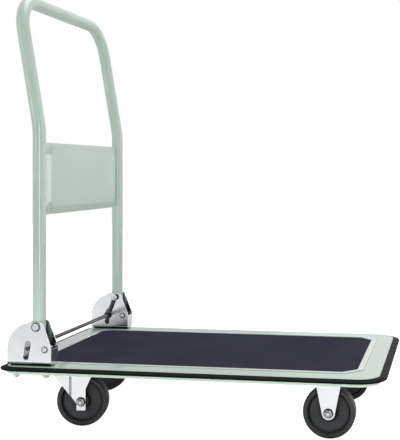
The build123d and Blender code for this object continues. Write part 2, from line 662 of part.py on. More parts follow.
def fork_arch(outline, crown_top, lead, tail):
    """Inverted U of sheet, cut to a side view: the crown on top and a leg on each side of the wheel."""
    height = crown_top
    outer = Rectangle(2 * FORK_OUTER_HALF, height)
    outer = fillet(outer.vertices().group_by(Axis.Y)[-1], FORK_BEND_R)
    inner = Pos(0, -FORK_SHEET) * Rectangle(FORK_GAP, height)
    inner = fillet(inner.vertices().group_by(Axis.Y)[-1], FORK_BEND_R - FORK_SHEET)
    start = Plane.YZ.offset(-lead) * Pos(0, height / 2)
    arch = extrude(start * (outer - inner), lead + tail)
    return arch & plate_xz(outline, -FORK_OUTER_HALF, FORK_OUTER_HALF)


def swivel_fork():
    """Pressed swivel fork: crown with the lower ball race, and two raked legs with a bend line."""
    tail = SWIVEL_TRAIL + CROWN_TAIL_PAST_AXLE
    fork = fork_arch(swivel_leg_outline(), CROWN_TOP, CROWN_LEAD, tail)
    crown_foot = CROWN_TOP - FORK_SHEET
    race_top = CROWN_TOP + LOWER_RACE_HEIGHT
    fork += cylinder_z(RACE_R, crown_foot, CROWN_TOP)
    race = cylinder_z(RACE_R, CROWN_TOP, race_top)
    fork += fillet(race.edges().sort_by(Axis.Z)[-1], LOWER_RACE_HEIGHT * RACE_ROUND_SHARE)
    fork -= Pos(0, 0, race_top + RACE_PLAY) * Torus(BALL_RING_R, BALL_R * RACE_GROOVE_SHARE)
    fork -= cylinder_z(KINGPIN_R + RUNNING_PLAY, crown_foot, race_top)
    fork -= cylinder_y(AXLE_R, -FORK_OUTER_HALF, FORK_OUTER_HALF, SWIVEL_TRAIL, WHEEL_R)
    crease_r = (LEG_CREASE_WIDTH ** 2 / 4 + LEG_CREASE_DEPTH ** 2) / (2 * LEG_CREASE_DEPTH)
    crease_y = FORK_OUTER_HALF - LEG_CREASE_DEPTH + crease_r
    for face in (-1, 1):
        place = SWIVEL_TRAIL - LEG_CREASE_LEAD, face * crease_y
        fork -= cylinder_z(crease_r, 0, CROWN_TOP - FORK_BEND_R, *place)
    return fork


def fixed_fork():
    """Fixed fork: mounting plate and two tapered legs with round ends, in one pressing."""
    end_r = FIXED_LEG_END_R
    taper = [
        (-FIXED_LEG_TOP_HALF, CASTER_HEIGHT),
        (FIXED_LEG_TOP_HALF, CASTER_HEIGHT),
        (end_r, WHEEL_R),
        (-end_r, WHEEL_R),
    ]
    outline = make_face(Polyline(*taper, close=True)) + Pos(0, WHEEL_R) * Circle(end_r)
    fork = fork_arch(outline, CASTER_HEIGHT, FIXED_LEG_TOP_HALF, FIXED_LEG_TOP_HALF)
    fork += mounting_plate()
    return fork - cylinder_y(AXLE_R, -FORK_OUTER_HALF, FORK_OUTER_HALF, 0, WHEEL_R)


def axle(out):
    """Axle bolt and its nut, the nut on the outer side of the trolley, with the axle's middle at x = 0."""
    end = FORK_OUTER_HALF + NUT_HEIGHT + BOLT_END
    head = plate_xz(Pos(0, WHEEL_R) * hexagon(HEX_FLATS), -FORK_OUTER_HALF - HEAD_HEIGHT, -FORK_OUTER_HALF)
    bolt = head + cylinder_y(AXLE_R, -FORK_OUTER_HALF, end, 0, WHEEL_R)
    ends = FORK_OUTER_HALF, FORK_OUTER_HALF + NUT_HEIGHT
    nut = plate_xz(Pos(0, WHEEL_R) * hexagon(HEX_FLATS), *ends) - cylinder_y(AXLE_R, *ends, 0, WHEEL_R)
    pair = [bolt, nut]
    if out < 0:
        pair = [mirror(piece, Plane.XZ) for piece in pair]
    return Compound(pair)


# Wheels, drawn with the wheel's middle at x = y = 0


def turned(profile):
    """Solid of revolution about the wheel's axle; the profile is radius and distance from the middle."""
    return Pos(0, 0, WHEEL_R) * revolve(make_face(Polyline(*profile, close=True)), Axis.Y, 360)


def tyre():
    """Rubber tyre with rounded shoulders."""
    half = TYRE_WIDTH / 2
    ring = cylinder_y(WHEEL_R, -half, half) - cylinder_y(WHEEL_R - TYRE_DEPTH, -half, half)
    shoulders = [e for e in ring.edges().filter_by(GeomType.CIRCLE) if e.radius > WHEEL_R - TYRE_DEPTH / 2]
    return Pos(0, 0, WHEEL_R) * fillet(shoulders, TYRE_SHOULDER_R)


def wheel_core():
    """Moulded wheel centre: hub, dished web and rim."""
    bore = AXLE_R + BUSH_WALL
    hub_half = FORK_GAP / 2 - HUB_PLAY
    rim_r = WHEEL_R - TYRE_DEPTH
    outline = [
        (bore, hub_half),
        (HUB_R, hub_half),
        (HUB_R + (hub_half - WEB_WIDTH / 2) / 3, WEB_WIDTH / 2),
        (rim_r - RIM_DEPTH, WEB_WIDTH / 2),
        (rim_r - RIM_LIP, RIM_WIDTH / 2),
        (rim_r, RIM_WIDTH / 2),
    ]
    return turned(outline + [(r, -y) for r, y in reversed(outline)])


def wheel_bush():
    """Bearing bush pressed in the hub, which turns on the axle."""
    hub_half = FORK_GAP / 2 - HUB_PLAY
    bore = AXLE_R + RUNNING_PLAY
    outer = AXLE_R + BUSH_WALL
    return turned([(bore, -hub_half), (outer, -hub_half), (outer, hub_half), (bore, hub_half)])


def write(name, shape):
    """Write one node to its own file."""
    export_step(shape, os.path.join("parts", name + ".step"))


def main():
    os.makedirs("parts", exist_ok=True)
    write("deck_pan", deck_pan())
    write("deck_mat", deck_mat())
    write("edge_bumper", edge_bumper())
    write("cross_channels", cross_channels())
    write("bracket_bolts", bracket_bolts())
    write("bracket_nuts", bracket_nuts())
    write("stop_rivets", stop_rivets())
    write("stop_sleeves", stop_sleeves())
    write("lock_bar", lock_bar())
    write("bar_clips", bar_clips())
    write("handle_tube", handle_tube())
    write("handle_panel", handle_panel())
    write("pivot_bushes", pivot_bushes())
    write("caster_studs", caster_studs())
    write("caster_nuts", caster_nuts())
    for name, side in SIDES.items():
        write("side_rail_" + name, side_rail(side))
        write("hinge_bracket_" + name, hinge_bracket(side))
        write("bracket_pad_" + name, bracket_pad(side))
        write("pivot_rivet_" + name, pivot_rivet(side))
        write("lock_spring_" + name, lock_spring(side))
        swivel = Pos(SWIVEL_X, side * CASTER_Y, 0)
        turn = SWIVEL_REST_TURN[name]
        turned_swivel = swivel * Rot(0, 0, turn)
        rear_middle = turned_swivel * Pos(SWIVEL_TRAIL, 0, 0)
        front_middle = Pos(FRONT_AXLE_X, side * CASTER_Y, 0)
        rear_out = side if cos(radians(turn)) > 0 else -side
        write("swivel_plate_" + name, swivel * swivel_plate())
        write("kingpin_" + name, swivel * kingpin())
        write("ball_ring_" + name, swivel * ball_ring())
        write("swivel_fork_" + name, turned_swivel * swivel_fork())
        write("rear_axle_" + name, rear_middle * axle(rear_out))
        write("fixed_fork_" + name, front_middle * fixed_fork())
        write("front_axle_" + name, front_middle * axle(side))
        for end, middle in (("rear", rear_middle), ("front", front_middle)):
            write(end + "_tyre_" + name, middle * tyre())
            write(end + "_wheel_core_" + name, middle * wheel_core())
            write(end + "_wheel_bush_" + name, middle * wheel_bush())


main()
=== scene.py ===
# %% [markdown]
# # A folding platform trolley
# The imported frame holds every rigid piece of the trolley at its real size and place. This lesson
# dresses that frame: it sets up a camera and a white studio, makes the finishes, and models the
# small forms that a solid model leaves out. Every length is in metres, and +Z is up.

# %% Load the frame
import json
from math import atan2, ceil, cos, pi, radians, sin, tan

import bmesh
import bpy
from mathutils import Matrix, Vector

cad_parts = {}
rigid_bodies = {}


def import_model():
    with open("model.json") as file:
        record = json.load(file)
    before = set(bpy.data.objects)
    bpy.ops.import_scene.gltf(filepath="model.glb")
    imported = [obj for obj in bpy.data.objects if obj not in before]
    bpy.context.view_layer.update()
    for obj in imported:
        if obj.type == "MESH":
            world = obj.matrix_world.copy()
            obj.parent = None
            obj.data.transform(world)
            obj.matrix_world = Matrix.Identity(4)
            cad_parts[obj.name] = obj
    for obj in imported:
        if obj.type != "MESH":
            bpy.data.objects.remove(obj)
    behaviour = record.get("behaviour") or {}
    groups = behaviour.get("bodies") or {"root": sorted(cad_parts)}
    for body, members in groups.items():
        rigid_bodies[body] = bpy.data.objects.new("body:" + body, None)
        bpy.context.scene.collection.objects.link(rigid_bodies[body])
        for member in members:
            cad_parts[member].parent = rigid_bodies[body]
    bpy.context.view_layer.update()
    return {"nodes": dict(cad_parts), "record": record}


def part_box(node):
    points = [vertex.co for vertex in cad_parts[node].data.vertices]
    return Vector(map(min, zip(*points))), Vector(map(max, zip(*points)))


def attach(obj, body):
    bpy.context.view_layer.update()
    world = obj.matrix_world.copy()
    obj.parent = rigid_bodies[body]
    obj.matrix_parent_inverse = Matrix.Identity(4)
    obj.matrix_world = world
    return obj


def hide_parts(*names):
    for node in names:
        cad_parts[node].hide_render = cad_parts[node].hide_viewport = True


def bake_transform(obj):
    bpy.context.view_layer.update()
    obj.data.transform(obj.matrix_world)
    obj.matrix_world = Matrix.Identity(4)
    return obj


for leftover in list(bpy.data.objects):
    bpy.data.objects.remove(leftover)

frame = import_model()
nodes = frame["nodes"]
MM = 0.001
SIDES = {"left": 1, "right": -1}
behaviour = frame["record"]["behaviour"]
body_of = {node: body for body, members in behaviour["bodies"].items() for node in members}
axis_of = {joint["name"]: Vector(joint["axis"]) for joint in behaviour["joints"]}
slot_of = {part["node"]: part["material_slot"] for part in frame["record"]["subparts"]}

# %% [markdown]
# ## Camera
# The photograph's uprights stay parallel, so its camera was level. Its vanishing lines meet away
# from the middle of the picture, which is what a lens shift does, so the camera is placed by its
# focal length in pixels, by the point that it looks at, and by its shift.

# %% Place the camera
PHOTO_WIDTH = 400
PHOTO_HEIGHT = 440
FOCAL_PIXELS = 904.02
LEVEL_POINT_X = 304.02
LEVEL_POINT_Y = 170.13
CAMERA_PLACE = (0.4897, -1.8411, 0.5060)
CAMERA_TURN = 0.1628


def new_object(name, data):
    """Object that holds some data, linked to the scene."""
    made = bpy.data.objects.new(name, data)
    bpy.context.scene.collection.objects.link(made)
    return made


lens = bpy.data.cameras.new("photo_camera")
lens.sensor_fit = "AUTO"
lens.lens = FOCAL_PIXELS / PHOTO_HEIGHT * lens.sensor_width
lens.shift_x = (PHOTO_WIDTH / 2 - LEVEL_POINT_X) / PHOTO_HEIGHT
lens.shift_y = (LEVEL_POINT_Y - PHOTO_HEIGHT / 2) / PHOTO_HEIGHT
camera = new_object("photo_camera", lens)
camera.location = CAMERA_PLACE
camera.rotation_euler = (pi / 2, 0, CAMERA_TURN)
bpy.context.scene.camera = camera
bpy.context.scene.view_settings.view_transform = "Standard"
print("camera: lens", round(lens.lens, 1), "mm, shift", round(lens.shift_x, 3), round(lens.shift_y, 3))


# %% [markdown]
# ## Node helpers
# A node tree is easier to read when one call adds a node, sets it up and wires its inputs. The
# same helper serves the world, the materials and the Geometry Nodes trees.

# %% Add a node and fill its inputs
def add_node(tree, kind, inputs=None, **settings):
    """Add a node; each input gets a value, or a link from another node's output."""
    node = tree.nodes.new(kind)
    for key, value in settings.items():
        setattr(node, key, value)
    for key, value in (inputs or {}).items():
        if isinstance(value, bpy.types.NodeSocket):
            tree.links.new(value, node.inputs[key])
        else:
            node.inputs[key].default_value = value
    return node


def maths(tree, operation, first, second=0.0):
    """Output of a Math node."""
    return add_node(tree, "ShaderNodeMath", {0: first, 1: second}, operation=operation).outputs[0]


def ramp(tree, value, from_low, from_high, to_low=0.0, to_high=1.0):
    """Output of a smooth ramp between two values."""
    spans = {0: value, 1: from_low, 2: from_high, 3: to_low, 4: to_high}
    return add_node(tree, "ShaderNodeMapRange", spans, interpolation_type="SMOOTHSTEP").outputs[0]


def mix_value(tree, share, low, high):
    """Value between two others."""
    return add_node(tree, "ShaderNodeMix", {0: share, 2: low, 3: high}, data_type="FLOAT").outputs[0]


def mix_colour(tree, share, low, high):
    """Colour between two others."""
    return add_node(tree, "ShaderNodeMix", {0: share, 6: low, 7: high}, data_type="RGBA").outputs[2]


def object_place(tree):
    """X, Y and Z of a point in its object's own coordinates."""
    place = add_node(tree, "ShaderNodeTexCoord").outputs["Object"]
    return add_node(tree, "ShaderNodeSeparateXYZ", {0: place}).outputs


# %% [markdown]
# ## Studio
# The trolley stands on white paper in a white room. Paper and room look white to the camera, but
# they light the object only at a plain level, so that every colour renders about as it is written.
# Metal is only as good as what it mirrors. So in reflections the room has a dark side where the
# photographer stands and a grey screen at the back on the left, and the paper gleams most just in
# front of the trolley, where the forks mirror it. Five lamps stand round the trolley, and a weak
# one on the floor, which nothing mirrors, lifts the strip of skirt below the bumper.

# %% Light the room
WHITE = (1, 1, 1, 1)
SKY_LIGHT = 0.34
DARK_SIDE = 0.72
DARK_SIDE_FADE = (-0.55, -0.15)
CEILING_FADE = (0.30, 0.62)
REAR_SCREEN = 0.33
REAR_SCREEN_FADE = (0.1, 0.4)
REAR_SCREEN_EDGE = (-0.20, -0.165)


def shown_rays(tree):
    """Light Path outputs: the camera's own rays, and all rays that show the backdrop."""
    path = add_node(tree, "ShaderNodeLightPath").outputs
    mirrored = maths(tree, "MAXIMUM", path["Is Glossy Ray"], path["Is Transmission Ray"])
    return path["Is Camera Ray"], maths(tree, "MAXIMUM", path["Is Camera Ray"], mirrored)


world = bpy.data.worlds.new("studio")
bpy.context.scene.world = world
world.use_nodes = True
sky = world.node_tree
sky.nodes.clear()
seen, shown = shown_rays(sky)
heading = add_node(sky, "ShaderNodeTexCoord").outputs["Generated"]
heading = add_node(sky, "ShaderNodeSeparateXYZ", {0: heading}).outputs
towards_camera = ramp(sky, heading["Y"], *DARK_SIDE_FADE, 1.0, 0.0)
below_ceiling = ramp(sky, heading["Z"], *CEILING_FADE, 1.0, 0.0)
behind = ramp(sky, heading["Y"], *REAR_SCREEN_FADE)
left_of_deck = ramp(sky, heading["X"], *REAR_SCREEN_EDGE, 1.0, 0.0)
rear_screen = maths(sky, "MULTIPLY", maths(sky, "MULTIPLY", behind, left_of_deck), REAR_SCREEN)
front_screen = maths(sky, "MULTIPLY", towards_camera, DARK_SIDE)
screens = maths(sky, "MULTIPLY", maths(sky, "MAXIMUM", front_screen, rear_screen), below_ceiling)
room = maths(sky, "SUBTRACT", 1.0, screens)
level = mix_value(sky, shown, SKY_LIGHT, mix_value(sky, seen, room, 1.0))
backdrop = add_node(sky, "ShaderNodeBackground", {"Color": WHITE, "Strength": level})
add_node(sky, "ShaderNodeOutputWorld", {"Surface": backdrop.outputs[0]})
print("room:", len(sky.nodes), "nodes")

# %% Lay the paper
PAPER_SIDE = 4.0
PAPER_BACK = 6.0
PAPER_FRONT = -4.5
PAPER_WHITE = (0.92, 0.92, 0.92, 1)
PAPER_GLOW = 0.95
PAPER_GLEAM = 0.12
PAPER_GLEAM_NEAR = 0.34
GLEAM_RISE = (-1.4, -0.6)
GLEAM_FALL = (0.0, 0.3)

paper_mesh = bpy.data.meshes.new("paper")
paper_corners = [
    (-PAPER_SIDE, PAPER_FRONT, 0),
    (PAPER_SIDE, PAPER_FRONT, 0),
    (PAPER_SIDE, PAPER_BACK, 0),
    (-PAPER_SIDE, PAPER_BACK, 0),
]
paper_mesh.from_pydata(paper_corners, [], [(0, 1, 2, 3)])
paper = new_object("paper", paper_mesh)
paper_finish = bpy.data.materials.new("paper")
paper_finish.use_nodes = True
tree = paper_finish.node_tree
tree.nodes.clear()
seen, shown = shown_rays(tree)
matt = add_node(tree, "ShaderNodeBsdfDiffuse", {"Color": PAPER_WHITE})
spot = object_place(tree)
gleam = ramp(tree, spot["Y"], *GLEAM_RISE, PAPER_GLEAM, PAPER_GLEAM_NEAR)
gleam = maths(tree, "MULTIPLY", gleam, ramp(tree, spot["Y"], *GLEAM_FALL, 1.0, 0.0))
glow = maths(tree, "MULTIPLY", shown, mix_value(tree, seen, gleam, PAPER_GLOW))
shine = add_node(tree, "ShaderNodeEmission", {"Color": WHITE, "Strength": glow})
both = add_node(tree, "ShaderNodeAddShader", {0: matt.outputs[0], 1: shine.outputs[0]})
from_below = add_node(tree, "ShaderNodeNewGeometry").outputs["Backfacing"]
clear = add_node(tree, "ShaderNodeBsdfTransparent")
layers = {0: from_below, 1: both.outputs[0], 2: clear.outputs[0]}
surface = add_node(tree, "ShaderNodeMixShader", layers)
add_node(tree, "ShaderNodeOutputMaterial", {"Surface": surface.outputs[0]})
paper_mesh.materials.append(paper_finish)
print("paper:", 2 * PAPER_SIDE, "m wide")


# %% Set up the lamps
def soft_lamp(name, place, aim, size, watts, spread=pi, mirrored=True):
    """Rectangular soft lamp that the camera itself doesn't see."""
    lamp = bpy.data.lights.new(name, "AREA")
    lamp.shape = "RECTANGLE"
    lamp.size, lamp.size_y = size
    lamp.energy = watts
    lamp.spread = spread
    lamp_object = new_object(name, lamp)
    lamp_object.location = place
    lamp_object.rotation_euler = (Vector(aim) - Vector(place)).to_track_quat("-Z", "Y").to_euler()
    lamp_object.visible_camera = False
    lamp_object.visible_glossy = mirrored


# Each lamp has a place, a point that it faces, a width and height, and a power.
LAMPS = {
    "overhead_lamp": ((0.9, 0.9, 4.6), (0, 0, 0.2), (4.0, 3.4), 104),
    "left_lamp": ((-2.9, -3.0, 1.5), (-0.2, 0, 0.5), (0.3, 1.8), 34),
    "front_lamp": ((0.93, -2.5, 0.52), (0, 0, 0.4), (0.5, 1.0), 15.5),
    "right_lamp": ((2.6, -0.5, 0.9), (0, 0, 0.3), (0.35, 1.6), 9),
    "rim_lamp": ((2.4, 2.3, 0.8), (-0.2, 0, 0.4), (0.4, 1.7), 8),
}
SKIRT_LAMP = ((0, -0.75, 0.02), (0, -0.24, 0.12), (1.0, 0.04), 0.3)
SKIRT_SPREAD = radians(40)
for name, (place, aim, size, watts) in LAMPS.items():
    soft_lamp(name, place, aim, size, watts)
soft_lamp("skirt_lamp", *SKIRT_LAMP, spread=SKIRT_SPREAD, mirrored=False)
print("lamps:", [lamp.name for lamp in bpy.data.lights])


# %% [markdown]
# ## Effects that several finishes share
# Paint, zinc, steel and rubber all vary a little over a surface: broad clouds of tone, a fine
# grain, painted shade in hollows where little light reaches, and pale edges, partly wear and partly a
# painted highlight. Each of these effects is one shader group, built once and placed in the materials
# with their own values.

# %% Shader groups
SOCKETS = {"value": "NodeSocketFloat", "colour": "NodeSocketColor", "vector": "NodeSocketVector"}
EVEN = (1, 1, 1)
CLOUD_SPAN = (0.3, 0.7)
GRAIN_SPAN = (0.25, 0.75)
EDGE_SPAN = (0.8, 0.98)


def shader_group(name, inputs, outputs):
    """Empty shader group with named sockets: its tree, what goes in and what comes out."""
    group = bpy.data.node_groups.new(name, "ShaderNodeTree")
    for label, (kind, default) in inputs.items():
        socket = group.interface.new_socket(label, in_out="INPUT", socket_type=SOCKETS[kind])
        socket.default_value = default
    for label, kind in outputs.items():
        group.interface.new_socket(label, in_out="OUTPUT", socket_type=SOCKETS[kind])
    return group, group.nodes.new("NodeGroupInput").outputs, group.nodes.new("NodeGroupOutput").inputs


def place_group(tree, group, **values):
    """Group placed in a material; a value's name is its socket's name in small letters."""
    inputs = {label.replace("_", " ").title(): value for label, value in values.items()}
    return add_node(tree, "ShaderNodeGroup", inputs, node_tree=group).outputs


def clouds_group():
    """Broad, soft patches between two colours."""
    group, given, made = shader_group(
        "tone_clouds",
        {"Colour": ("colour", WHITE), "Patch Colour": ("colour", WHITE), "Size": ("value", 0.05)},
        {"Colour": "colour"},
    )
    place = add_node(group, "ShaderNodeTexCoord").outputs["Object"]
    scale = maths(group, "DIVIDE", 1.0, given["Size"])
    noise = add_node(group, "ShaderNodeTexNoise", {"Vector": place, "Scale": scale, "Detail": 3.0})
    mask = ramp(group, noise.outputs["Fac"], *CLOUD_SPAN)
    group.links.new(mix_colour(group, mask, given["Colour"], given["Patch Colour"]), made["Colour"])
    return group


def grain_group():
    """Fine grain, drawn out along the axes by its stretch."""
    inputs = {
        "Size": ("value", 0.001),
        "Stretch": ("vector", EVEN),
        "Rough Low": ("value", 0.3),
        "Rough High": ("value", 0.4),
    }
    group, given, made = shader_group("fine_grain", inputs, {"Height": "value", "Roughness": "value"})
    place = add_node(group, "ShaderNodeTexCoord").outputs["Object"]
    drawn = {0: place, 1: given["Stretch"]}
    drawn = add_node(group, "ShaderNodeVectorMath", drawn, operation="MULTIPLY").outputs[0]
    scale = maths(group, "DIVIDE", 1.0, given["Size"])
    noise = add_node(group, "ShaderNodeTexNoise", {"Vector": drawn, "Scale": scale, "Detail": 2.0})
    group.links.new(noise.outputs["Fac"], made["Height"])
    rough = ramp(group, noise.outputs["Fac"], *GRAIN_SPAN, given["Rough Low"], given["Rough High"])
    group.links.new(rough, made["Roughness"])
    return group


def hollows_group():
    """Mask for painted shade: open surface is 1, and a hollow that little light reaches goes to 0."""
    group, given, made = shader_group(
        "dark_hollows",
        {"Reach": ("value", 0.02), "Dark Below": ("value", 0.2), "Open Above": ("value", 0.7)},
        {"Open": "value"},
    )
    around = add_node(group, "ShaderNodeAmbientOcclusion", {"Distance": given["Reach"]}, samples=8)
    open_share = ramp(group, around.outputs["AO"], given["Dark Below"], given["Open Above"])
    group.links.new(open_share, made["Open"])
    return group


def edges_group():
    """Mask for pale edges, partly wear and partly a painted highlight: 1 along sharp outer edges, 0 on
    the faces between them.
    """
    group, given, made = shader_group("rubbed_edges", {"Width": ("value", 0.001)}, {"Edge": "value"})
    round_normal = add_node(group, "ShaderNodeBevel", {"Radius": given["Width"]}, samples=4).outputs[0]
    face_normal = add_node(group, "ShaderNodeNewGeometry").outputs["Normal"]
    both = {0: round_normal, 1: face_normal}
    agree = add_node(group, "ShaderNodeVectorMath", both, operation="DOT_PRODUCT")
    group.links.new(ramp(group, agree.outputs["Value"], *EDGE_SPAN, 1.0, 0.0), made["Edge"])
    return group


tone_clouds = clouds_group()
fine_grain = grain_group()
dark_hollows = hollows_group()
rubbed_edges = edges_group()
print("shader groups:", [group.name for group in bpy.data.node_groups])


# %% [markdown]
# ## Finishes
# Each slot of the record gets one material. A number that is the same all over sits on the
# shader's own socket, and only what changes over the surface comes through nodes. The colours are
# written as 8-bit screen colours.

# %% Finish helpers
def srgb(red, green, blue):
    """Linear colour of an 8-bit screen colour."""
    def linear(level):
        share = level / 255
        return share / 12.92 if share <= 0.04045 else ((share + 0.055) / 1.055) ** 2.4
    return linear(red), linear(green), linear(blue), 1.0


def new_finish(name, constants):
    """Material with plain numbers set on its shader: its tree and its shader's inputs."""
    finish = bpy.data.materials.new(name)
    finish.use_nodes = True
    shader = finish.node_tree.nodes["Principled BSDF"]
    for socket, value in constants.items():
        shader.inputs[socket].default_value = value
    return finish, finish.node_tree, shader.inputs


def bump(tree, shader, height, strength, depth):
    """Bump a shader's normal by a height that is in shares of a depth."""
    node = add_node(tree, "ShaderNodeBump", {"Strength": strength, "Distance": depth, "Height": height})
    tree.links.new(node.outputs[0], shader["Normal"])


def marked_faces(tree, name):
    """What a piece's attribute stores on its faces; it is 0 on a piece without it."""
    return add_node(tree, "ShaderNodeAttribute", attribute_name=name).outputs["Fac"]


finishes = {}

# %% [markdown]
# ### Mint paint
# The pan, the handle and the rails wear a pale green powder coat: a faint orange peel, a hint of
# cloud in the tone, and a paler line on an edge, partly where the coat is thin and partly a painted
# highlight. The top of the lip round the mat gets a painted highlight, and its slope a painted shade
# line. The lip is so low that both need a tone of their own to show. A thin clear coat on top gives
# the streaks on the tube their bright core.

# %% Mint paint
MINT = srgb(180, 201, 187)
MINT_DEEP = srgb(175, 197, 182)
# Pale tone for edges, partly a thin coat and partly a painted highlight; the lip's top takes it as a
# painted highlight.
MINT_WEAR_AND_HIGHLIGHT = srgb(224, 235, 228)
# Painted shade for the slope of the deck's lip.
MINT_CREASE_SHADE = srgb(112, 128, 118)
# Share of the painted highlight on the lip's top.
LIP_HIGHLIGHT_SHARE = 0.4


def mint_paint():
    """Powder coat on pan, handle and rails."""
    gloss = {"Roughness": 0.36, "Coat Weight": 0.8, "Coat Roughness": 0.05}
    finish, tree, shader = new_finish("mint_paint", gloss)
    clouds = place_group(tree, tone_clouds, colour=MINT, patch_colour=MINT_DEEP, size=0.11)
    edge = place_group(tree, rubbed_edges, width=1.0 * MM)
    # Painted highlight on the lip's top, and pale edges that are partly a thin coat and partly a painted
    # highlight.
    rubbed = maths(tree, "MULTIPLY", marked_faces(tree, "rubbed"), LIP_HIGHLIGHT_SHARE)
    rubbed = maths(tree, "MAXIMUM", rubbed, edge["Edge"])
    tone = mix_colour(tree, rubbed, clouds["Colour"], MINT_WEAR_AND_HIGHLIGHT)
    # Painted shade line along the slope of the lip.
    tone = mix_colour(tree, marked_faces(tree, "crease"), tone, MINT_CREASE_SHADE)
    tree.links.new(tone, shader["Base Color"])
    peel = place_group(tree, fine_grain, size=2.4 * MM)
    bump(tree, shader, peel["Height"], strength=0.08, depth=0.02 * MM)
    return finish


finishes["mint_paint"] = mint_paint()

# %% [markdown]
# ### Rubbers
# The mat is a violet-grey sheet with a fine pebble. The bumper is black and satin, and the tyres
# are a dense dark grey. Rubber is so dark that its gloss is a good part of what is seen, so the
# roughness matters as much as the colour. Hollows, and what lies deep under the deck, get a painted
# shade that goes nearly black.

# %% Rubbers and wheel plastic
MAT_VIOLET = srgb(39, 38, 56)
MAT_WORN = srgb(49, 47, 65)


def mat_rubber():
    """Pebbled rubber sheet."""
    finish, tree, shader = new_finish("mat_rubber", {"Specular IOR Level": 0.03})
    clouds = place_group(tree, tone_clouds, colour=MAT_VIOLET, patch_colour=MAT_WORN, size=0.16)
    tree.links.new(clouds["Colour"], shader["Base Color"])
    pebble = place_group(tree, fine_grain, size=1.1 * MM, rough_low=0.62, rough_high=0.76)
    tree.links.new(pebble["Roughness"], shader["Roughness"])
    bump(tree, shader, pebble["Height"], strength=0.5, depth=0.15 * MM)
    return finish


# Near-black colour of the painted shade in hollows and under the deck.
SHADE_BLACK = srgb(9, 9, 10)
SKIN_ROUGH_SPAN = 0.12


def dark_moulding(name, colour, worn_colour, grain, rough, gloss):
    """Dark rubber or plastic with a fine moulded grain, and painted shade in hollows and deep under the
    deck.
    """
    finish, tree, shader = new_finish(name, {"Specular IOR Level": gloss})
    clouds = place_group(tree, tone_clouds, colour=colour, patch_colour=worn_colour, size=0.03)
    # Painted shade: small hollows, and faces that look into the space under the deck, go to near black.
    hollow = place_group(tree, dark_hollows, reach=10 * MM, dark_below=0.68, open_above=0.98)
    under = place_group(tree, dark_hollows, reach=350 * MM, dark_below=0.24, open_above=0.46)
    lit = maths(tree, "MINIMUM", hollow["Open"], under["Open"])
    tree.links.new(mix_colour(tree, lit, SHADE_BLACK, clouds["Colour"]), shader["Base Color"])
    skin = place_group(tree, fine_grain, size=grain, rough_low=rough, rough_high=rough + SKIN_ROUGH_SPAN)
    tree.links.new(skin["Roughness"], shader["Roughness"])
    bump(tree, shader, skin["Height"], strength=0.35, depth=0.08 * MM)
    return finish


# Each moulding has a colour, a worn colour, a size of grain, a roughness and a gloss.
MOULDINGS = {
    "bumper_rubber": (srgb(9, 10, 11), srgb(13, 14, 15), 0.9 * MM, 0.45, 0.05),
    "tyre_rubber": (srgb(54, 54, 56), srgb(60, 60, 62), 0.8 * MM, 0.42, 0.3),
    "wheel_plastic": (srgb(62, 63, 67), srgb(67, 68, 72), 0.7 * MM, 0.36, 0.3),
}
finishes["mat_rubber"] = mat_rubber()
for name, values in MOULDINGS.items():
    finishes[name] = dark_moulding(name, *values)

# %% [markdown]
# ### Zinc and steel
# Zinc plate is a bright, slightly cloudy mirror. Its hollows, the corners round small heads and
# the grooves of the fork legs get a dull grey painted shade. The brackets are open at the back, so
# the painted shade is lifted towards their rear, where light falls into their slots, most of all on
# the near side. Bars are drawn through a die, which leaves fine lines along their length.

# %% Zinc and steel
# Painted shade on the walls of the fork grooves.
ZINC_CREASE_SHADE = srgb(120, 126, 132)
# Where the painted shade is lifted: towards the open back of the brackets, less on the far side.
BRACKET_LIT = (-0.308, -0.302)
BRACKET_SIDES = (-0.1, 0.1)
FAR_SHARE = 0.55
METAL_ROUGH_SPAN = 0.06


def bright_metal(name, colour, cloud_colour, painted_shade_colour, grain, stretch, rough, open_above):
    """Plated or bare metal: cloudy tone, painted shade in hollows and creases, and a fine grain."""
    finish, tree, shader = new_finish(name, {"Metallic": 1.0})
    clouds = place_group(tree, tone_clouds, colour=colour, patch_colour=cloud_colour, size=0.022)
    # Painted shade: wide and narrow occlusion darken hollows and the corners round small heads.
    inside = place_group(tree, dark_hollows, reach=45 * MM, dark_below=0.25, open_above=open_above)
    corner = place_group(tree, dark_hollows, reach=4 * MM, dark_below=0.82, open_above=0.995)
    spot = object_place(tree)
    # Painted light: the shade is lifted towards the open back of the brackets.
    rear = ramp(tree, spot["X"], *BRACKET_LIT, 1.0, 0.0)
    rear = maths(tree, "MULTIPLY", rear, ramp(tree, spot["Y"], *BRACKET_SIDES, 1.0, FAR_SHARE))
    bright = maths(tree, "MINIMUM", maths(tree, "MAXIMUM", inside["Open"], rear), corner["Open"])
    tone = mix_colour(tree, bright, painted_shade_colour, clouds["Colour"])
    # Painted shade on the walls of the fork grooves.
    tone = mix_colour(tree, marked_faces(tree, "crease"), tone, ZINC_CREASE_SHADE)
    tree.links.new(tone, shader["Base Color"])
    spans = {"rough_low": rough, "rough_high": rough + METAL_ROUGH_SPAN}
    lines = place_group(tree, fine_grain, size=grain, stretch=stretch, **spans)
    tree.links.new(lines["Roughness"], shader["Roughness"])
    bump(tree, shader, lines["Height"], strength=0.06, depth=0.02 * MM)
    return finish


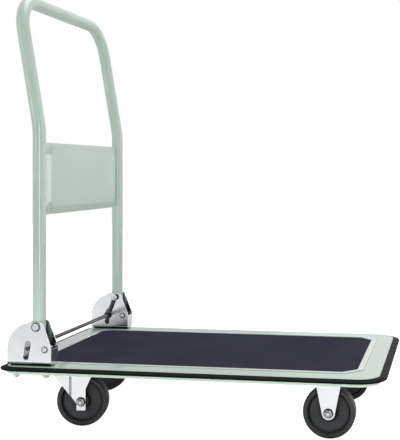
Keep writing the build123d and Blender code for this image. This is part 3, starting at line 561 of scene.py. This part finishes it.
# Each metal has a colour, a cloud colour, a painted shade colour for hollows, a size and a stretch of
# grain, a roughness, and the openness above which it is at its brightest.
METALS = {
    "zinc_plate": (
        srgb(228, 232, 235), srgb(224, 229, 232), srgb(26, 40, 40), 1.6 * MM, EVEN, 0.17, 0.62,
    ),
    "zinc_fastener": (
        srgb(214, 218, 222), srgb(200, 205, 210), srgb(44, 47, 50), 0.8 * MM, EVEN, 0.24, 0.85,
    ),
    "dark_steel": (
        srgb(98, 97, 102), srgb(84, 84, 90), srgb(50, 50, 54), 0.7 * MM, (1, 0.05, 1), 0.3, 0.62,
    ),
    "spring_steel": (
        srgb(150, 152, 156), srgb(128, 130, 135), srgb(60, 62, 66), 0.5 * MM, EVEN, 0.25, 0.62,
    ),
    "bush_steel": (
        srgb(176, 177, 180), srgb(160, 161, 165), srgb(70, 70, 74), 0.6 * MM, (1, 0.1, 1), 0.25, 0.62,
    ),
}
for name, values in METALS.items():
    finishes[name] = bright_metal(name, *values)
print("finishes:", sorted(finishes))


# %% [markdown]
# ## Softened pressings
# A solid model has knife edges, and light never catches them. Each pressing is copied, its facets
# are merged into whole faces and its sheared edges, the corners of about 90 degrees, are broken.
# The copy then stands for the node. Shallow folds stay as they are, but some of their faces are
# marked, so that the finishes can paint a shade line into a crease and a highlight onto a lip.

# %% Copy, merge and soften
MERGE = 0.002 * MM
FLAT = radians(0.6)
EDGE_FROM = radians(64)
EDGE_STEPS = 2
SMOOTH_BELOW = radians(40)


def place_piece(name, mesh, body, slot, stands_for=()):
    """Link a finished mesh as a piece that rides on a body."""
    piece = new_object(name, mesh)
    mesh.materials.clear()
    mesh.materials.append(finishes[slot])
    if body:
        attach(piece, body)
    if stands_for:
        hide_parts(*stands_for)
    return piece


def finished_mesh(name, work):
    """Mesh of a bmesh, shaded smooth except across sharp edges, with its broad faces kept flat."""
    mesh = bpy.data.meshes.new(name)
    work.to_mesh(mesh)
    work.free()
    mesh.shade_smooth()
    mesh.set_sharp_from_angle(angle=SMOOTH_BELOW)
    holder = new_object(name + "_shading", mesh)
    holder.modifiers.new("broad_faces", "WEIGHTED_NORMAL").keep_sharp = True
    shaded = bpy.data.meshes.new_from_object(holder.evaluated_get(bpy.context.evaluated_depsgraph_get()))
    bpy.data.objects.remove(holder)
    bpy.data.meshes.remove(mesh)
    return shaded


def break_edges(work, width):
    """Round the edges whose faces meet at a steep angle."""
    chosen = [edge for edge in work.edges if edge.is_manifold and edge.calc_face_angle(0) > EDGE_FROM]
    if chosen and width:
        bmesh.ops.bevel(work, geom=chosen, offset=width, segments=EDGE_STEPS, profile=0.5,
                        affect="EDGES", clamp_overlap=False)


def mark_faces(work, name, chosen):
    """Store 1 on the chosen faces and 0 on all others."""
    layer = work.faces.layers.float.new(name)
    for face in work.faces:
        face[layer] = float(chosen(face))


# %% Mark the deck's lip and the grooves of the raked legs
LIP_RISE = 0.8 * MM
LIP_TOP_SLACK = 0.08 * MM
LIP_SLOPE = (0.42, 0.9)
LEVEL = 0.99
GROOVE_SLOPE = (0.76, 0.98)
UPRIGHT = 0.15


def mark_lip(work):
    """Mark the slope of the lip for a painted shade line, and its top for a painted highlight."""
    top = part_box("deck_pan")[1][2]

    def is_slope(face):
        low, high = LIP_SLOPE
        return low < face.normal.z < high and face.calc_center_median().z > top - LIP_RISE

    def is_top(face):
        return face.normal.z > LEVEL and face.calc_center_median().z > top - LIP_TOP_SLACK

    mark_faces(work, "crease", is_slope)
    mark_faces(work, "rubbed", is_top)


def mark_groove(work, axle):
    """Mark the walls of the groove that stiffens each leg of a swivel fork, for painted shade."""
    def is_wall(face):
        low, high = GROOVE_SLOPE
        return abs(face.normal.z) < UPRIGHT and low < abs(face.normal.dot(axle)) < high

    mark_faces(work, "crease", is_wall)


# %% Soften a node
def soften(node, width):
    """Softened copy of a node, standing for it."""
    work = bmesh.new()
    work.from_mesh(nodes[node].data)
    bmesh.ops.remove_doubles(work, verts=work.verts, dist=MERGE)
    bmesh.ops.dissolve_limit(work, angle_limit=FLAT, verts=work.verts, edges=work.edges)
    break_edges(work, width)
    work.normal_update()
    if node == "deck_pan":
        mark_lip(work)
    for side in SIDES:
        if node == "swivel_fork_" + side:
            mark_groove(work, axis_of["rear_wheel_spin_" + side])
    open_edges = sum(not item.is_manifold for item in work.edges)
    place_piece(node + "_soft", finished_mesh(node, work), body_of[node], slot_of[node], [node])
    return open_edges


# %% Soften the pressings, rivets and sleeves
# Widths of the broken edges, in millimetres.
PAIRED = {
    "hinge_bracket": 0.4, "bracket_pad": 0.4, "pivot_rivet": 0.2, "side_rail": 0.3,
    "swivel_plate": 0.15, "swivel_fork": 0.15, "fixed_fork": 0.25, "kingpin": 0.2,
    "rear_wheel_bush": 0.3, "front_wheel_bush": 0.3,
}
SINGLE = {
    "deck_pan": 0.25, "deck_mat": 0.7, "cross_channels": 0.3, "handle_tube": 0.2,
    "handle_panel": 0.3, "pivot_bushes": 0.3, "lock_bar": 0.0, "bar_clips": 0.2,
    "stop_rivets": 0.2, "stop_sleeves": 0.3,
}
softened = {name + "_" + side: width for name, width in PAIRED.items() for side in SIDES}
softened.update(SINGLE)
for node, width in softened.items():
    gaps = soften(node, width * MM)
    if gaps:
        print("open edges:", node, gaps)
print("softened:", len(softened), "nodes")


# %% [markdown]
# ## Pieces that grow in Geometry Nodes
# A strip round the deck, a wound wire, a ring of balls and a set of equal bolts are all one form
# repeated along a path or on points. Each tree below takes a starter mesh and named inputs. The
# helper sets the inputs, turns the result into one plain mesh and removes the tree from it again.

# %% Tree helpers
def geometry_tree(name, inputs):
    """Empty tree with named inputs: the tree, what goes in, and the socket for what it makes."""
    tree = bpy.data.node_groups.new(name, "GeometryNodeTree")
    tree.interface.new_socket("Geometry", in_out="INPUT", socket_type="NodeSocketGeometry")
    for label, kind in inputs.items():
        tree.interface.new_socket(label, in_out="INPUT", socket_type="NodeSocket" + kind)
    tree.interface.new_socket("Geometry", in_out="OUTPUT", socket_type="NodeSocketGeometry")
    return tree, tree.nodes.new("NodeGroupInput").outputs, tree.nodes.new("NodeGroupOutput").inputs[0]


def end_tree(tree, shape, finish, made):
    """Realize the instances, set the material and hand over the shape."""
    real = add_node(tree, "GeometryNodeRealizeInstances", {"Geometry": shape}).outputs[0]
    done = add_node(tree, "GeometryNodeSetMaterial", {"Geometry": real, "Material": finish})
    tree.links.new(done.outputs[0], made)


def starter(name, points, edges=(), turns=None):
    """Mesh of points and edges for a tree to start from; its points can store their turns."""
    mesh = bpy.data.meshes.new(name)
    mesh.from_pydata([tuple(point) for point in points], edges, [])
    if turns:
        layer = mesh.attributes.new("turn", "FLOAT_VECTOR", "POINT")
        for item, turn in zip(layer.data, turns):
            item.vector = turn
    return mesh


def grow(name, tree, start, **values):
    """Plain mesh that a tree grows from a starter mesh; an input's name is in small letters."""
    grower = new_object(name + "_grower", start)
    modifier = grower.modifiers.new("grow", "NODES")
    modifier.node_group = tree
    for item in tree.interface.items_tree:
        label = item.name.lower().replace(" ", "_")
        if item.in_out == "INPUT" and label in values:
            modifier[item.identifier] = values[label]
    shown = grower.evaluated_get(bpy.context.evaluated_depsgraph_get())
    mesh = bpy.data.meshes.new_from_object(shown)
    grower.modifiers.remove(modifier)
    bpy.data.objects.remove(grower)
    bpy.data.meshes.remove(start)
    work = bmesh.new()
    work.from_mesh(mesh)
    bmesh.ops.recalc_face_normals(work, faces=work.faces)
    work.to_mesh(mesh)
    work.free()
    return mesh


def ring_edges(count):
    """Edges that close a row of points to a loop."""
    return [(index, (index + 1) % count) for index in range(count)]


def middle(node):
    """Middle of a node's box at rest."""
    low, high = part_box(node)
    return (Vector(low) + Vector(high)) / 2


# %% [markdown]
# ### Rounded outlines
# Strips, tyres and wheel discs all start from an outline with rounded corners. Every corner is
# given by its place and its radius, and the round is a short fan of points about its centre.

# %% Round an outline
def rounded(corners, steps=4):
    """Closed outline through (x, y, radius) corners, with each corner rounded."""
    points = []
    for index, (x, y, radius) in enumerate(corners):
        here = Vector((x, y))
        back = (Vector(corners[index - 1][:2]) - here).normalized()
        ahead = (Vector(corners[(index + 1) % len(corners)][:2]) - here).normalized()
        half = back.angle(ahead) / 2
        centre = here + (back + ahead).normalized() * radius / sin(half)
        first = here + back * radius / tan(half) - centre
        last = here + ahead * radius / tan(half) - centre
        for step in range(steps + 1):
            points.append(centre + first.lerp(last, step / steps).normalized() * radius)
    return points


# %% [markdown]
# ### Edge bumper
# The rubber strip is one profile swept round the deck. Its top is flat beside the deck and then
# falls to a rounded nose.

# %% Sweep the bumper
FRONT_CORNER = 42 * MM
REAR_CORNER = 24 * MM
BUMPER_FLAT = 1.5 * MM
BUMPER_NOSE = 3.2 * MM
BUMPER_BACK_ROUND = 0.3 * MM
BUMPER_NOSE_ROUND = 1.2 * MM
BUMPER_TOP_ROUND = 1.0 * MM
CORNER_STEPS = 16


def sweep_tree(name, normals):
    """Tree that sweeps the loop of a profile object along the starter's edges."""
    tree, given, made = geometry_tree(name, {"Profile": "Object", "Finish": "Material"})
    path = add_node(tree, "GeometryNodeMeshToCurve", {"Mesh": given["Geometry"]}).outputs[0]
    path = add_node(tree, "GeometryNodeSetCurveNormal", {"Curve": path}, mode=normals).outputs[0]
    loop = add_node(tree, "GeometryNodeObjectInfo", {"Object": given["Profile"]}).outputs["Geometry"]
    loop = add_node(tree, "GeometryNodeMeshToCurve", {"Mesh": loop}).outputs[0]
    lines = {"Curve": path, "Profile Curve": loop, "Fill Caps": True}
    swept = add_node(tree, "GeometryNodeCurveToMesh", lines)
    smooth = add_node(tree, "GeometryNodeSetShadeSmooth", {"Geometry": swept.outputs[0]})
    end_tree(tree, smooth.outputs[0], given["Finish"], made)
    return tree


strip_sweep = sweep_tree("strip_sweep", "Z_UP")
wire_sweep = sweep_tree("wire_sweep", "MINIMUM_TWIST")

deck_low, deck_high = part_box("deck_pan")
strip_low, strip_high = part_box("edge_bumper")
strip_depth = strip_high[0] - deck_high[0]
strip_height = strip_high[2] - strip_low[2]
corners = [(deck_high[0], y, FRONT_CORNER) for y in (deck_low[1], deck_high[1])]
corners += [(deck_low[0], y, REAR_CORNER) for y in (deck_high[1], deck_low[1])]
route = rounded(corners, CORNER_STEPS)
corners = [
    (0, 0, BUMPER_BACK_ROUND),
    (strip_depth, 0, BUMPER_NOSE_ROUND),
    (strip_depth, BUMPER_NOSE, BUMPER_NOSE_ROUND),
    (BUMPER_FLAT, strip_height, BUMPER_TOP_ROUND),
    (0, strip_height, BUMPER_BACK_ROUND),
]
strip_profile = rounded(corners)
profile_points = [(x, -y, 0) for x, y in strip_profile]
profile_mesh = starter("strip_profile", profile_points, ring_edges(len(strip_profile)))
profile = new_object("strip_profile", profile_mesh)
route_mesh = starter("strip_route", [(x, y, strip_low[2]) for x, y in route], ring_edges(len(route)))
rubber = finishes["bumper_rubber"]
bumper = grow("edge_bumper_strip", strip_sweep, route_mesh, profile=profile, finish=rubber)
bpy.data.objects.remove(profile)
place_piece("edge_bumper_strip", bumper, "deck", "bumper_rubber", ["edge_bumper"])
print("bumper:", len(bumper.polygons), "faces on a route of", len(route), "points")


# %% [markdown]
# ## Turned pieces
# Tyres, wheel centres, nuts and bolts are round, so each is an outline of radius and height that is
# turned about its axis. A nut's outline changes with the angle, which makes the six flats and the
# arcs that its chamfer leaves on them. A thread's outline climbs with the angle.

# %% Turn an outline
def add_turned(work, outline_at, steps):
    """Add a closed outline of (radius, height) points, turned about Z; it may follow the angle."""
    rows = []
    for step in range(steps):
        angle = 2 * pi * step / steps
        rows.append([work.verts.new((r * cos(angle), r * sin(angle), h)) for r, h in outline_at(angle)])
    for row, after in zip(rows, rows[1:] + rows[:1]):
        for index in range(len(row)):
            work.faces.new((row[index - 1], after[index - 1], after[index], row[index]))


def turned_mesh(name, outlines, steps, place=Matrix()):
    """Mesh of several turned outlines, moved to a place."""
    work = bmesh.new()
    for outline_at in outlines:
        add_turned(work, outline_at, steps)
    bmesh.ops.remove_doubles(work, verts=work.verts, dist=0.1 * MERGE)
    bmesh.ops.recalc_face_normals(work, faces=work.faces)
    bmesh.ops.transform(work, matrix=place, verts=work.verts)
    return finished_mesh(name, work)


# %% [markdown]
# ### Wheels
# The tyre has rounded shoulders and two fine mould lines on its tread. The wheel centre has a
# proud hub, a flat disc and a sloping wall up to the rim, with every corner rounded as a mould
# would round it. All four wheels are the same, so one outline is turned four times.

# %% Turn the wheels
WHEEL_STEPS = 112
ROUND_STEPS = 5
WHEEL_R = 50 * MM
TYRE_HALF = 13 * MM
TYRE_INNER = 41.5 * MM
TYRE_SHOULDER = 4 * MM
MOULD_LINE = 1.3 * MM
MOULD_LINE_HALF = 0.3 * MM
MOULD_LINE_DEPTH = 0.15 * MM
FINE_ROUND = 0.1 * MM
HUB_BORE = 6.5 * MM
HUB_R = 13.5 * MM
HUB_HALF = 16.7 * MM
HUB_FOOT = 16.9 * MM
DISC_HALF = 6.5 * MM
DISC_R = 37.7 * MM
RIM_R = 40.7 * MM
RIM_HALF = 12 * MM

# Each corner of a half outline has a radius and a height in the wheel, and its own round.
half_tyre = [
    (TYRE_INNER, TYRE_HALF, 0.5 * MM),
    (WHEEL_R, TYRE_HALF, TYRE_SHOULDER),
    (WHEEL_R, MOULD_LINE + MOULD_LINE_HALF, FINE_ROUND),
    (WHEEL_R - MOULD_LINE_DEPTH, MOULD_LINE, FINE_ROUND),
    (WHEEL_R, MOULD_LINE - MOULD_LINE_HALF, FINE_ROUND),
]
half_core = [
    (HUB_BORE, HUB_HALF, 0.4 * MM),
    (HUB_R, HUB_HALF, 0.9 * MM),
    (HUB_FOOT, DISC_HALF, 1.5 * MM),
    (DISC_R, DISC_HALF, 0.8 * MM),
    (RIM_R, RIM_HALF, 0.35 * MM),
    (TYRE_INNER, RIM_HALF, FINE_ROUND),
]


def whole_outline(half):
    """Outline of both halves of a wheel piece, which is the same on each side of its middle."""
    points = rounded(half + [(r, -h, radius) for r, h, radius in reversed(half)], ROUND_STEPS)
    return lambda angle: points


def along(direction, place):
    """Matrix that lays the Z axis along a direction and moves it to a place."""
    return Matrix.Translation(place) @ Vector(direction).to_track_quat("Z", "Y").to_matrix().to_4x4()


wheel_pieces = {"_tyre_": (half_tyre, "tyre_rubber"), "_wheel_core_": (half_core, "wheel_plastic")}
for end in ("front", "rear"):
    for side in SIDES:
        place = along(axis_of[end + "_wheel_spin_" + side], middle(end + "_tyre_" + side))
        for kind, (half, slot) in wheel_pieces.items():
            node = end + kind + side
            mesh = turned_mesh(node, [whole_outline(half)], WHEEL_STEPS, place)
            place_piece(node + "_turned", mesh, end + "_wheel_" + side, slot, [node])
            print(node, len(mesh.polygons), "faces")


# %% [markdown]
# ### Nuts and bolts
# Three kits hold the trolley together: studs for the casters, bolts for the brackets and axles.
# Each is made once, standing on its seat with +Z pointing out past the nut, and then set on all its
# points by one tree. No two nuts stop at the same angle, so each kit is turned a step further.

# %% Make the kits
BOLT_R = 4 * MM
FLATS = 13 * MM
NUT = 6.5 * MM
HEAD = 5.3 * MM
WASHER_R = 8 * MM
WASHER = 1.5 * MM
THREAD_PITCH = 1.25 * MM
THREAD_DEPTH = 0.55 * MM
THREAD_ROWS = 5
THREAD_IN_NUT = 1 * MM
END_CHAMFER = 0.8 * MM
BORE_CHAMFER = 0.5 * MM
HEX_FACE_SHARE = 0.475
STUD_ROOT = 3 * MM
STUD_PAST_NUT = 1 * MM
BOLT_PAST_NUT = 2 * MM
KIT_STEPS = 48


def hex_outline(foot, height, bore):
    """Chamfered hexagon between two heights, with a bore or solid to its axis."""
    face_r = HEX_FACE_SHARE * FLATS
    bite = min(bore, BORE_CHAMFER)

    def outline_at(angle):
        flat_r = FLATS / 2 / cos((angle % (pi / 3)) - pi / 6)
        drop = (flat_r - face_r) * tan(pi / 6)
        top = foot + height
        return [
            (bore + bite, foot), (face_r, foot), (flat_r, foot + drop),
            (flat_r, top - drop), (face_r, top), (bore + bite, top),
            (bore, top - bite), (bore, foot + bite),
        ]
    return outline_at


def washer_outline(foot):
    """Flat washer with broken edges."""
    corners = [
        (BOLT_R, foot, FINE_ROUND),
        (WASHER_R, foot, 0.3 * MM),
        (WASHER_R, foot + WASHER, 0.4 * MM),
        (BOLT_R, foot + WASHER, FINE_ROUND),
    ]
    points = rounded(corners, steps=2)
    return lambda angle: points


def shank_outline(foot, end, bare):
    """Plain shank with a chamfered end, threaded along the last stretch."""
    rows = ceil(bare / THREAD_PITCH * THREAD_ROWS)

    def outline_at(angle):
        points = [(0, foot), (BOLT_R, foot), (BOLT_R, end - bare)]
        for row in range(rows):
            height = end - bare + bare * row / rows
            phase = (height / THREAD_PITCH - angle / (2 * pi)) % 1
            limit = BOLT_R - max(0, height - end + END_CHAMFER)
            points.append((min(limit, BOLT_R - THREAD_DEPTH * abs(2 * phase - 1)), height))
        return points + [(BOLT_R - END_CHAMFER, end), (0, end)]
    return outline_at


def kit_mesh(name, seat, end, head_seat=None, washer=True):
    """Nut on a seat, with its washer, its threaded shank and, for a bolt, the head."""
    nut_foot = seat + (WASHER if washer else 0)
    outlines = [hex_outline(nut_foot, NUT, BOLT_R - THREAD_DEPTH)]
    if washer:
        outlines.append(washer_outline(seat))
    root = head_seat if head_seat is not None else seat - STUD_ROOT
    outlines.append(shank_outline(root, end, end - nut_foot - NUT + THREAD_IN_NUT))
    if head_seat is not None:
        outlines.append(hex_outline(head_seat - HEAD, HEAD, 0))
    return turned_mesh(name, outlines, KIT_STEPS)


def kit_tree():
    """Tree that sets a kit on every point of the starter, turned as the point says."""
    tree, given, made = geometry_tree("kits_on_points", {"Kit": "Object", "Finish": "Material"})
    kit = add_node(tree, "GeometryNodeObjectInfo", {"Object": given["Kit"], "As Instance": True})
    turn = add_node(tree, "GeometryNodeInputNamedAttribute", {"Name": "turn"}, data_type="FLOAT_VECTOR")
    turn = add_node(tree, "FunctionNodeEulerToRotation", {0: turn.outputs[0]}).outputs[0]
    items = {"Points": given["Geometry"], "Instance": kit.outputs["Geometry"], "Rotation": turn}
    placed = add_node(tree, "GeometryNodeInstanceOnPoints", items)
    end_tree(tree, placed.outputs[0], given["Finish"], made)
    return tree


kits_on_points = kit_tree()
FORK_HALF = 19.5 * MM
SEAT_HEIGHT = 20.5 * MM
stud_end = WASHER + NUT + STUD_PAST_NUT
bolt_end = WASHER + NUT + BOLT_PAST_NUT
axle_end = FORK_HALF + NUT + BOLT_PAST_NUT
stud_kit = new_object("stud_kit", kit_mesh("stud_kit", 0, stud_end))
bolt_kit = new_object("bolt_kit", kit_mesh("bolt_kit", 0, bolt_end, -SEAT_HEIGHT))
axle_kit = new_object("axle_kit", kit_mesh("axle_kit", FORK_HALF, axle_end, -FORK_HALF, washer=False))
kits = (stud_kit, bolt_kit, axle_kit)
print("kits:", [(kit.name, len(kit.data.polygons)) for kit in kits])

# %% [markdown]
# The points come from the frame itself: the studs stand round the middle of each caster plate, the
# bracket bolts under the ends of each bracket, and an axle runs through the middle of each wheel.

# %% Set the kits on their points
STUD_HALF_X = 36 * MM
STUD_HALF_Y = 24 * MM
TURN_STEP = radians(37)


def four_points(low_x, high_x, low_y, high_y, z):
    """Corners of a level rectangle."""
    return [(x, y, z) for x in (low_x, high_x) for y in (low_y, high_y)]


def hanging_turns(points):
    """Turns that hang a kit below each point, with its nut at an angle of its own."""
    return [(pi, 0, TURN_STEP * index) for index in range(len(points))]


def set_kits(name, kit, body, points, turns, nodes_taken):
    """One mesh of kits on points, riding on a body."""
    start = starter(name, points, turns=turns)
    mesh = grow(name, kits_on_points, start, kit=kit, finish=finishes["zinc_fastener"])
    place_piece(name, mesh, body, "zinc_fastener", nodes_taken)
    print(name, len(points), "kits,", len(mesh.polygons), "faces")


plates = ["swivel_plate_" + side for side in SIDES] + ["fixed_fork_" + side for side in SIDES]
plate_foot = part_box("caster_nuts")[1][2]
stud_points = []
for plate in plates:
    x, y = middle(plate)[:2]
    stud_points += four_points(
        x - STUD_HALF_X, x + STUD_HALF_X, y - STUD_HALF_Y, y + STUD_HALF_Y, plate_foot
    )
turns = hanging_turns(stud_points)
set_kits("caster_fixings", stud_kit, "deck", stud_points, turns, ["caster_studs", "caster_nuts"])

low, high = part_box("bracket_nuts")
bolt_points = four_points(
    low[0] + WASHER_R, high[0] - WASHER_R, low[1] + WASHER_R, high[1] - WASHER_R, high[2]
)
turns = hanging_turns(bolt_points)
set_kits("bracket_fixings", bolt_kit, "deck", bolt_points, turns, ["bracket_bolts", "bracket_nuts"])

for end in ("front", "rear"):
    for index, (side, sign) in enumerate(SIDES.items()):
        axis = axis_of[end + "_wheel_spin_" + side]
        turn = (-sign * pi / 2, TURN_STEP * (index + 1), atan2(-axis.x, axis.y))
        body = "deck" if end == "front" else "swivel_" + side
        node = end + "_axle_" + side
        set_kits(node + "_kit", axle_kit, body, [middle(end + "_tyre_" + side)], [turn], [node])
for kit in kits:
    bpy.data.objects.remove(kit)

# %% [markdown]
# ### Ball races
# Between the two races of each swivel caster runs a ring of steel balls, a bright row in the gap.

# %% Ring of balls
BALLS = 22


def smooth_ball(tree, radius, fineness):
    """Ball with smooth shading, for a tree to set on points."""
    ball = add_node(tree, "GeometryNodeMeshIcoSphere", {"Radius": radius, "Subdivisions": fineness})
    return add_node(tree, "GeometryNodeSetShadeSmooth", {"Geometry": ball.outputs["Mesh"]}).outputs[0]


def race_tree():
    """Tree that sets balls on a ring about a place."""
    inputs = {"Balls": "Int", "Ring Radius": "Float", "Ball Radius": "Float", "Place": "Vector"}
    tree, given, made = geometry_tree("ball_race", {**inputs, "Finish": "Material"})
    circle = {"Vertices": given["Balls"], "Radius": given["Ring Radius"]}
    ring = add_node(tree, "GeometryNodeMeshCircle", circle).outputs[0]
    ball = smooth_ball(tree, given["Ball Radius"], 3)
    row = add_node(tree, "GeometryNodeInstanceOnPoints", {"Points": ring, "Instance": ball}).outputs[0]
    moved = add_node(tree, "GeometryNodeTransform", {"Geometry": row, "Translation": given["Place"]})
    end_tree(tree, moved.outputs[0], given["Finish"], made)
    return tree


ball_race = race_tree()
for side in SIDES:
    node = "ball_ring_" + side
    ring_low, ring_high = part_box(node)
    ball_r = (ring_high[2] - ring_low[2]) / 2
    ring_r = (ring_high[0] - ring_low[0]) / 2 - ball_r
    balls = grow(node, ball_race, starter(node, []), balls=BALLS, ring_radius=ring_r, ball_radius=ball_r,
                 place=middle(node), finish=finishes["bush_steel"])
    place_piece("race_balls_" + side, balls, body_of[node], slot_of[node], [node])
print("race balls:", BALLS, "in each caster,", len(balls.polygons), "faces")

# %% [markdown]
# ### Lock springs
# Each spring is one wire: a hook round the bar, a close coil, and a hook round the hinge pin. The
# path is a formula along the line from bar to pin, and the wire is swept along it.

# %% Wind the springs
WIRE_R = 0.6 * MM
HOOK_R = 4.9 * MM
COIL_R = 3.2 * MM
COIL_END = 7.9 * MM
COIL_TURNS = 22
COIL_STEPS = 14
HOOK_STEPS = 22
HOOK_TURN = radians(255)
WIRE_SIDES = 8
ACROSS = Vector((0, 1, 0))


def spring_path(foot, top):
    """Points of the wire from the hook on the bar to the hook on the pin."""
    along_line = (top - foot).normalized()
    beside = along_line.cross(ACROSS)
    span = (top - foot).length
    points = []
    for step in range(HOOK_STEPS):
        angle = HOOK_TURN * (1 - step / HOOK_STEPS)
        points.append(foot + HOOK_R * (cos(angle) * along_line + sin(angle) * beside))
    lead = COIL_STEPS // 2
    wound = COIL_TURNS * COIL_STEPS
    for step in range(wound + 2 * lead + 1):
        entered = min(1.0, step / lead)
        left = min(1.0, (wound + 2 * lead - step) / lead)
        share = max(0.0, min(1.0, (step - lead) / wound))
        height = HOOK_R + (COIL_END - HOOK_R) * (entered + 1 - left) + (span - 2 * COIL_END) * share
        angle = 2 * pi * step / COIL_STEPS
        beside_line = cos(angle) * beside + sin(angle) * ACROSS
        points.append(foot + height * along_line + COIL_R * min(entered, left) * beside_line)
    for step in range(1, HOOK_STEPS + 1):
        angle = pi + HOOK_TURN * step / HOOK_STEPS
        points.append(top + HOOK_R * (cos(angle) * along_line + sin(angle) * beside))
    return points


wire_angles = [2 * pi * step / WIRE_SIDES for step in range(WIRE_SIDES)]
wire_ring = [(WIRE_R * cos(angle), WIRE_R * sin(angle), 0) for angle in wire_angles]
wire_object = new_object("wire_ring", starter("wire_ring", wire_ring, ring_edges(WIRE_SIDES)))
bar = middle("lock_bar")
pin = middle("pivot_bushes")
for side in SIDES:
    node = "lock_spring_" + side
    level_y = middle(node).y
    foot = Vector((bar.x, level_y, bar.z))
    top = Vector((pin.x, level_y, pin.z))
    path = spring_path(foot, top)
    links = [(index, index + 1) for index in range(len(path) - 1)]
    start = starter(node, path, links)
    wire = grow(node, wire_sweep, start, profile=wire_object, finish=finishes["spring_steel"])
    spring = place_piece("lock_wire_" + side, wire, None, "spring_steel", [node])
    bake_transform(spring)
bpy.data.objects.remove(wire_object)
print("springs:", COIL_TURNS, "turns,", len(wire.polygons), "faces each")

# %% [markdown]
# ### Weld beads
# The panel is welded to the uprights from behind. A weld is a row of overlapping drops, each a
# little different from the last, so a short row of small spheres with a random size makes one.

# %% Lay the beads
BEAD_R = 1.5 * MM
BEAD_GAP = 1.7 * MM
BEAD_SEED = 5
BEAD_SIZES = (0.7, 1.1)
BEAD_SET_BACK = 0.2 * MM
BEAD_SET_IN = 0.4 * MM
BEAD_STRETCHES = ((0.05, 0.3), (0.7, 0.95))


def bead_tree():
    """Tree that lays drops of random size along the starter's edges."""
    inputs = {"Drop Radius": "Float", "Gap": "Float", "Finish": "Material"}
    tree, given, made = geometry_tree("bead_rows", inputs)
    row = add_node(tree, "GeometryNodeMeshToCurve", {"Mesh": given["Geometry"]}).outputs[0]
    spacing = {"Curve": row, "Length": given["Gap"]}
    row = add_node(tree, "GeometryNodeResampleCurve", spacing, mode="LENGTH").outputs[0]
    drop = smooth_ball(tree, given["Drop Radius"], 2)
    limits = {2: BEAD_SIZES[0], 3: BEAD_SIZES[1], "Seed": BEAD_SEED}
    size = add_node(tree, "FunctionNodeRandomValue", limits, data_type="FLOAT")
    items = {"Points": row, "Instance": drop, "Scale": size.outputs[1]}
    laid = add_node(tree, "GeometryNodeInstanceOnPoints", items)
    end_tree(tree, laid.outputs[0], given["Finish"], made)
    return tree


panel_low, panel_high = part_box("handle_panel")
panel_height = panel_high[2] - panel_low[2]
bead_x = panel_low[0] - BEAD_SET_BACK
bead_rows = []
for y in (panel_low[1] + BEAD_SET_IN, panel_high[1] - BEAD_SET_IN):
    for stretch in BEAD_STRETCHES:
        for share in stretch:
            bead_rows.append((bead_x, y, panel_low[2] + share * panel_height))
bead_links = [(index, index + 1) for index in range(0, len(bead_rows), 2)]
start = starter("panel_welds", bead_rows, bead_links)
paint = finishes["mint_paint"]
beads = grow("panel_welds", bead_tree(), start, drop_radius=BEAD_R, gap=BEAD_GAP, finish=paint)
place_piece("panel_welds", beads, "handle", "mint_paint")
print("weld beads:", len(bead_links), "rows,", len(beads.polygons), "faces")

# %% Hand over
for node, slot in slot_of.items():
    mesh = nodes[node].data
    mesh.materials.clear()
    mesh.materials.append(finishes[slot])
